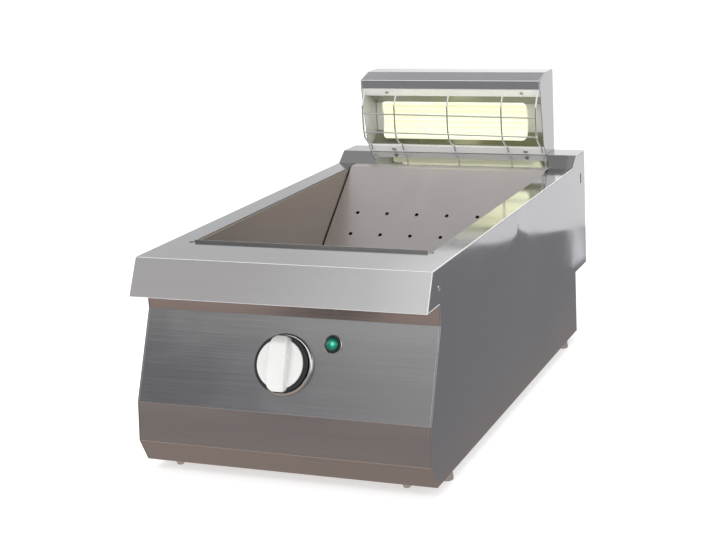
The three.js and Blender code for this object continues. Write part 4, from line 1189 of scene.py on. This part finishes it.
def make_gland():
    return on_back(turned("Cable_gland", [
        (3.6, -8.6), (7.4, -8.6), (7.8, -8.2), (7.8, 0.2), (10.3, 0.3), (10.39, 0.9), (10.39, 6.4), (10, 7),
        (9.2, 7.2), (9.2, 8), (10.1, 8.3), (10.1, 15.5), (9.4, 17.4), (7.8, 19.2), (6.2, 20.1), (4.4, 20.3),
        (3.6, 19.6),
    ], 18), "cable_gland")


def stud_thread(start, turns):
    return [point for i in range(turns) for point in ((2.5, start + i), (2, start + 0.5 + i))]


def make_earth_stud():
    nuts = [(2.4, -1.8), (4.6, -1.7), (4.6, 0.2), (4.7, 0.3), (4.7, 3.6), (4.2, 4.2), (2.4, 4.3)]
    outline = [(0, -11.8), (2.3, -11.8)] + stud_thread(-11, 9) + nuts + stud_thread(4.6, 11)
    return on_back(turned("Earth_stud", outline + [(1.8, 15.8), (0, 16)], 20), "earth_stud")


hand_over(make_conduit(), GREY, ("hood_conduit",))
hand_over(make_gland(), BLACK, ("cable_gland",))
hand_over(make_earth_stud(), BRASS, ("earth_stud",))


# Pieces inside the case: node, finish, slot, rounding of its edges in millimetres

INNER = [
    ("basin_heater", SILICONE, "silicone", 0.6),
    ("heater_clamp_plate", BACK_STEEL, "steel", 0.8),
    ("limit_thermostat", STEATITE, "white_enamel", 0.5),
    ("emitter_clip", ZINC, "steel", 0.3),
    ("emitter_terminal_block", STEATITE, "white_enamel", 0.8),
    ("energy_regulator", GREY, "grey_plastic", 0.7),
    ("pilot_body", GREY, "grey_plastic", 0.5),
    ("pilot_nut", BLACK, "black_plastic", 0.4),
    ("terminal_block", STEATITE, "white_enamel", 0.8),
    ("gland_nut", BLACK, "black_plastic", 0.4),
    ("loom_controls", SILICONE, "silicone", 0.2),
    ("loom_hood", SILICONE, "silicone", 0.2),
]
INNER += [(f"foot_socket_{place}", ZINC, "steel", 0.4) for place in FOOT_PLACES]
for node, material, slot, ease in INNER:
    made = refined(node, node.capitalize(), ease * MM, ease * 0.5 * MM)
    hand_over(made, material, (node,), grain=ALONG_X)


# Floor, backdrop and the surroundings the steel mirrors

def world_white():
    """White behind the object and in clear reflections, softer light for everything else."""
    world = bpy.data.worlds.new("Studio")
    bpy.context.scene.world = world
    world.use_nodes = True
    tree = world.node_tree
    path = add_node(tree, "ShaderNodeLightPath")
    mirrored = maths(tree, "MAXIMUM", path["Is Glossy Ray"], path["Is Transmission Ray"])
    seen = maths(tree, "MAXIMUM", path["Is Camera Ray"], mirrored)
    background = tree.nodes["Background"]
    background.inputs["Color"].default_value = (1, 1, 1, 1)
    tree.links.new(ranged(tree, seen, 0, 1, 0.62, 1), background.inputs["Strength"])


# Corners of a level and of an upright rectangle, each range as (low, high)

def level(x, y, z):
    return [(x[0], y[0], z), (x[1], y[0], z), (x[1], y[1], z), (x[0], y[1], z)]


def upright(x, y, z):
    return [(x[0], y, z[0]), (x[1], y, z[0]), (x[1], y, z[1]), (x[0], y, z[1])]


def make_floor():
    """Pale floor that meets the backdrop without an edge."""
    material = new_material(
        "Floor", Roughness=0.9, Base_Color=(0.72, 0.72, 0.72, 1), Emission_Strength=0.58,
        Emission_Color=(1, 1, 1, 1),
    )[0]
    made = object_from("Floor", level((-30, 30), (-30, 30), 0), [(0, 1, 2, 3)])
    made.data.materials.append(material)
    made.visible_glossy = False


def card_material(name, colour, far_colour, start, end):
    """One colour running into another along X."""
    material = bpy.data.materials.new(name)
    material.use_nodes = True
    tree = material.node_tree
    tree.nodes.remove(tree.nodes["Principled BSDF"])
    across = add_node(tree, "ShaderNodeSeparateXYZ", {0: object_coordinates(tree)})["X"]
    blend = mixed(tree, ranged(tree, across, start, end, 0, 1), (*colour, 1), (*far_colour, 1))
    glow = add_node(tree, "ShaderNodeEmission", {"Color": blend, "Strength": 1})
    tree.links.new(glow[0], tree.nodes["Material Output"].inputs["Surface"])
    return material


def make_card(name, corners, *finish):
    made = object_from(name, corners, [tuple(range(len(corners)))])
    made.data.materials.append(card_material(name, *finish))
    made.visible_camera = False
    made.visible_diffuse = False
    made.visible_shadow = False
    made.visible_transmission = False
    made.visible_volume_scatter = False


# The table lies under the cards on it, so that none of them meet in one plane
TABLE_Z = -0.002
ON_TABLE_Z = -0.001
TABLE_OUTLINE = [(-6, -6), (6, -6), (6, 0.5), (0.75, 0.72), (0.3, 1.18), (-6, 1.3)]
LIGHT_OUTLINE = [(0.32, 0.73), (0.32, 0.84), (0.51, 1.53), (0.51, 1.39)]

# Plain surfaces seen only in the steel: name, corners, colour, far colour, where the one runs into the other
CARDS = [
    ("Table", [(x, y, TABLE_Z) for x, y in TABLE_OUTLINE],
     (0.34, 0.30, 0.285), (0.29, 0.29, 0.30), 0.2, 0.28),
    ("Table_light", [(x, y, ON_TABLE_Z) for x, y in LIGHT_OUTLINE], (0.95, 0.95, 0.97), (1, 1, 1), 0.3, 0.5),
    ("Table_edge", level((-0.6, 0.25), (-0.56, -0.3), ON_TABLE_Z),
     (0.42, 0.335, 0.295), (0.39, 0.315, 0.275), -0.3, 0.2),
    ("Table_near", level((-1.5, 0.3), (-1.5, -0.93), ON_TABLE_Z),
     (0.49, 0.36, 0.315), (0.52, 0.385, 0.335), -0.8, 0.1),
    ("Table_dark", level((-0.34, -0.19), (-1.5, -0.93), 0),
     (0.03, 0.03, 0.03), (0.03, 0.03, 0.03), -0.8, 0.1),
    ("Table_far", level((-6, 6), (-5.2, -1.6), ON_TABLE_Z),
     (0.24, 0.235, 0.245), (0.24, 0.235, 0.245), -0.8, 0.1),
    ("Wall_front", upright((-6, 6), -5.5, (0, 3.3)), (0.33, 0.33, 0.335), (0.66, 0.66, 0.66), -3.6, -2.3),
    ("Wall_low", upright((-6, 6), -5.4, (0, 2.8)), (0.185, 0.183, 0.193), (0.47, 0.467, 0.475), -3.1, -2.0),
    ("Wall_high", upright((-6, 0), -5.5, (3.3, 7)), (0.76, 0.74, 0.75), (1, 1, 1), -3.4, -2.6),
    ("Wall_back", upright((-9, 9), 7, (0, 3.6)), (0.68, 0.68, 0.69), (1, 1, 1), -3.6, -2.1),
    ("Ceiling", level((-4, 4), (-1.2, 5.5), 4.5), (0.40, 0.395, 0.405), (0.52, 0.52, 0.53), -1, 1),
]
world_white()
make_floor()
for card in CARDS:
    make_card(*card)


# Lamps: name, place, what it points at, its two sizes, watts
LAMPS = [
    ("Key", (-0.9, -1.9, 2.2), (0, 0, 0.2), (1.8, 1.8), 22),
    ("Top", (0.2, 0.4, 2.6), (0, 0, 0.2), (2.2, 2.2), 20),
    ("Fill", (2.4, -1.2, 1.2), (0, 0, 0.2), (1.6, 1.2), 6),
    ("Hood light", (0, -0.25, 0.8), (0, BACK_Y, 0.36), (0.7, 0.3), 1.6),
]


def make_lamp(name, place, aim, size, power):
    data = bpy.data.lights.new(name, "AREA")
    data.shape = "RECTANGLE"
    data.size, data.size_y = size
    data.energy = power
    made = new_object(name, data)
    made.location = place
    made.rotation_euler = (Vector(aim) - Vector(place)).to_track_quat("-Z", "Y").to_euler()
    made.visible_camera = False
    made.visible_glossy = False


for lamp in LAMPS:
    make_lamp(*lamp)


# Camera at the photograph's angle

def make_camera():
    data = bpy.data.cameras.new("Camera")
    data.sensor_width = SENSOR_WIDTH
    data.lens = FOCAL_PIXELS / PHOTO_WIDTH * SENSOR_WIDTH
    data.shift_x = (PHOTO_WIDTH / 2 - PHOTO_CENTRE[0]) / PHOTO_WIDTH
    data.shift_y = (PHOTO_CENTRE[1] - PHOTO_HEIGHT / 2) / PHOTO_WIDTH
    data.dof.use_dof = False
    made = new_object("Camera", data)
    forward = Vector((
        -sin(CAMERA_YAW) * cos(CAMERA_PITCH), cos(CAMERA_YAW) * cos(CAMERA_PITCH),
        -sin(CAMERA_PITCH),
    ))
    level_way = Vector((cos(CAMERA_YAW), sin(CAMERA_YAW), 0))
    upright_way = level_way.cross(forward)
    right = level_way * cos(CAMERA_ROLL) + upright_way * sin(CAMERA_ROLL)
    up = upright_way * cos(CAMERA_ROLL) - level_way * sin(CAMERA_ROLL)
    made.matrix_world = frame_at(Vector((0, BACK_Y, 0)) + CAMERA_FROM_BACK, right, up, -forward)
    bpy.context.scene.camera = made


make_camera()
bpy.context.scene.view_settings.view_transform = "Standard"
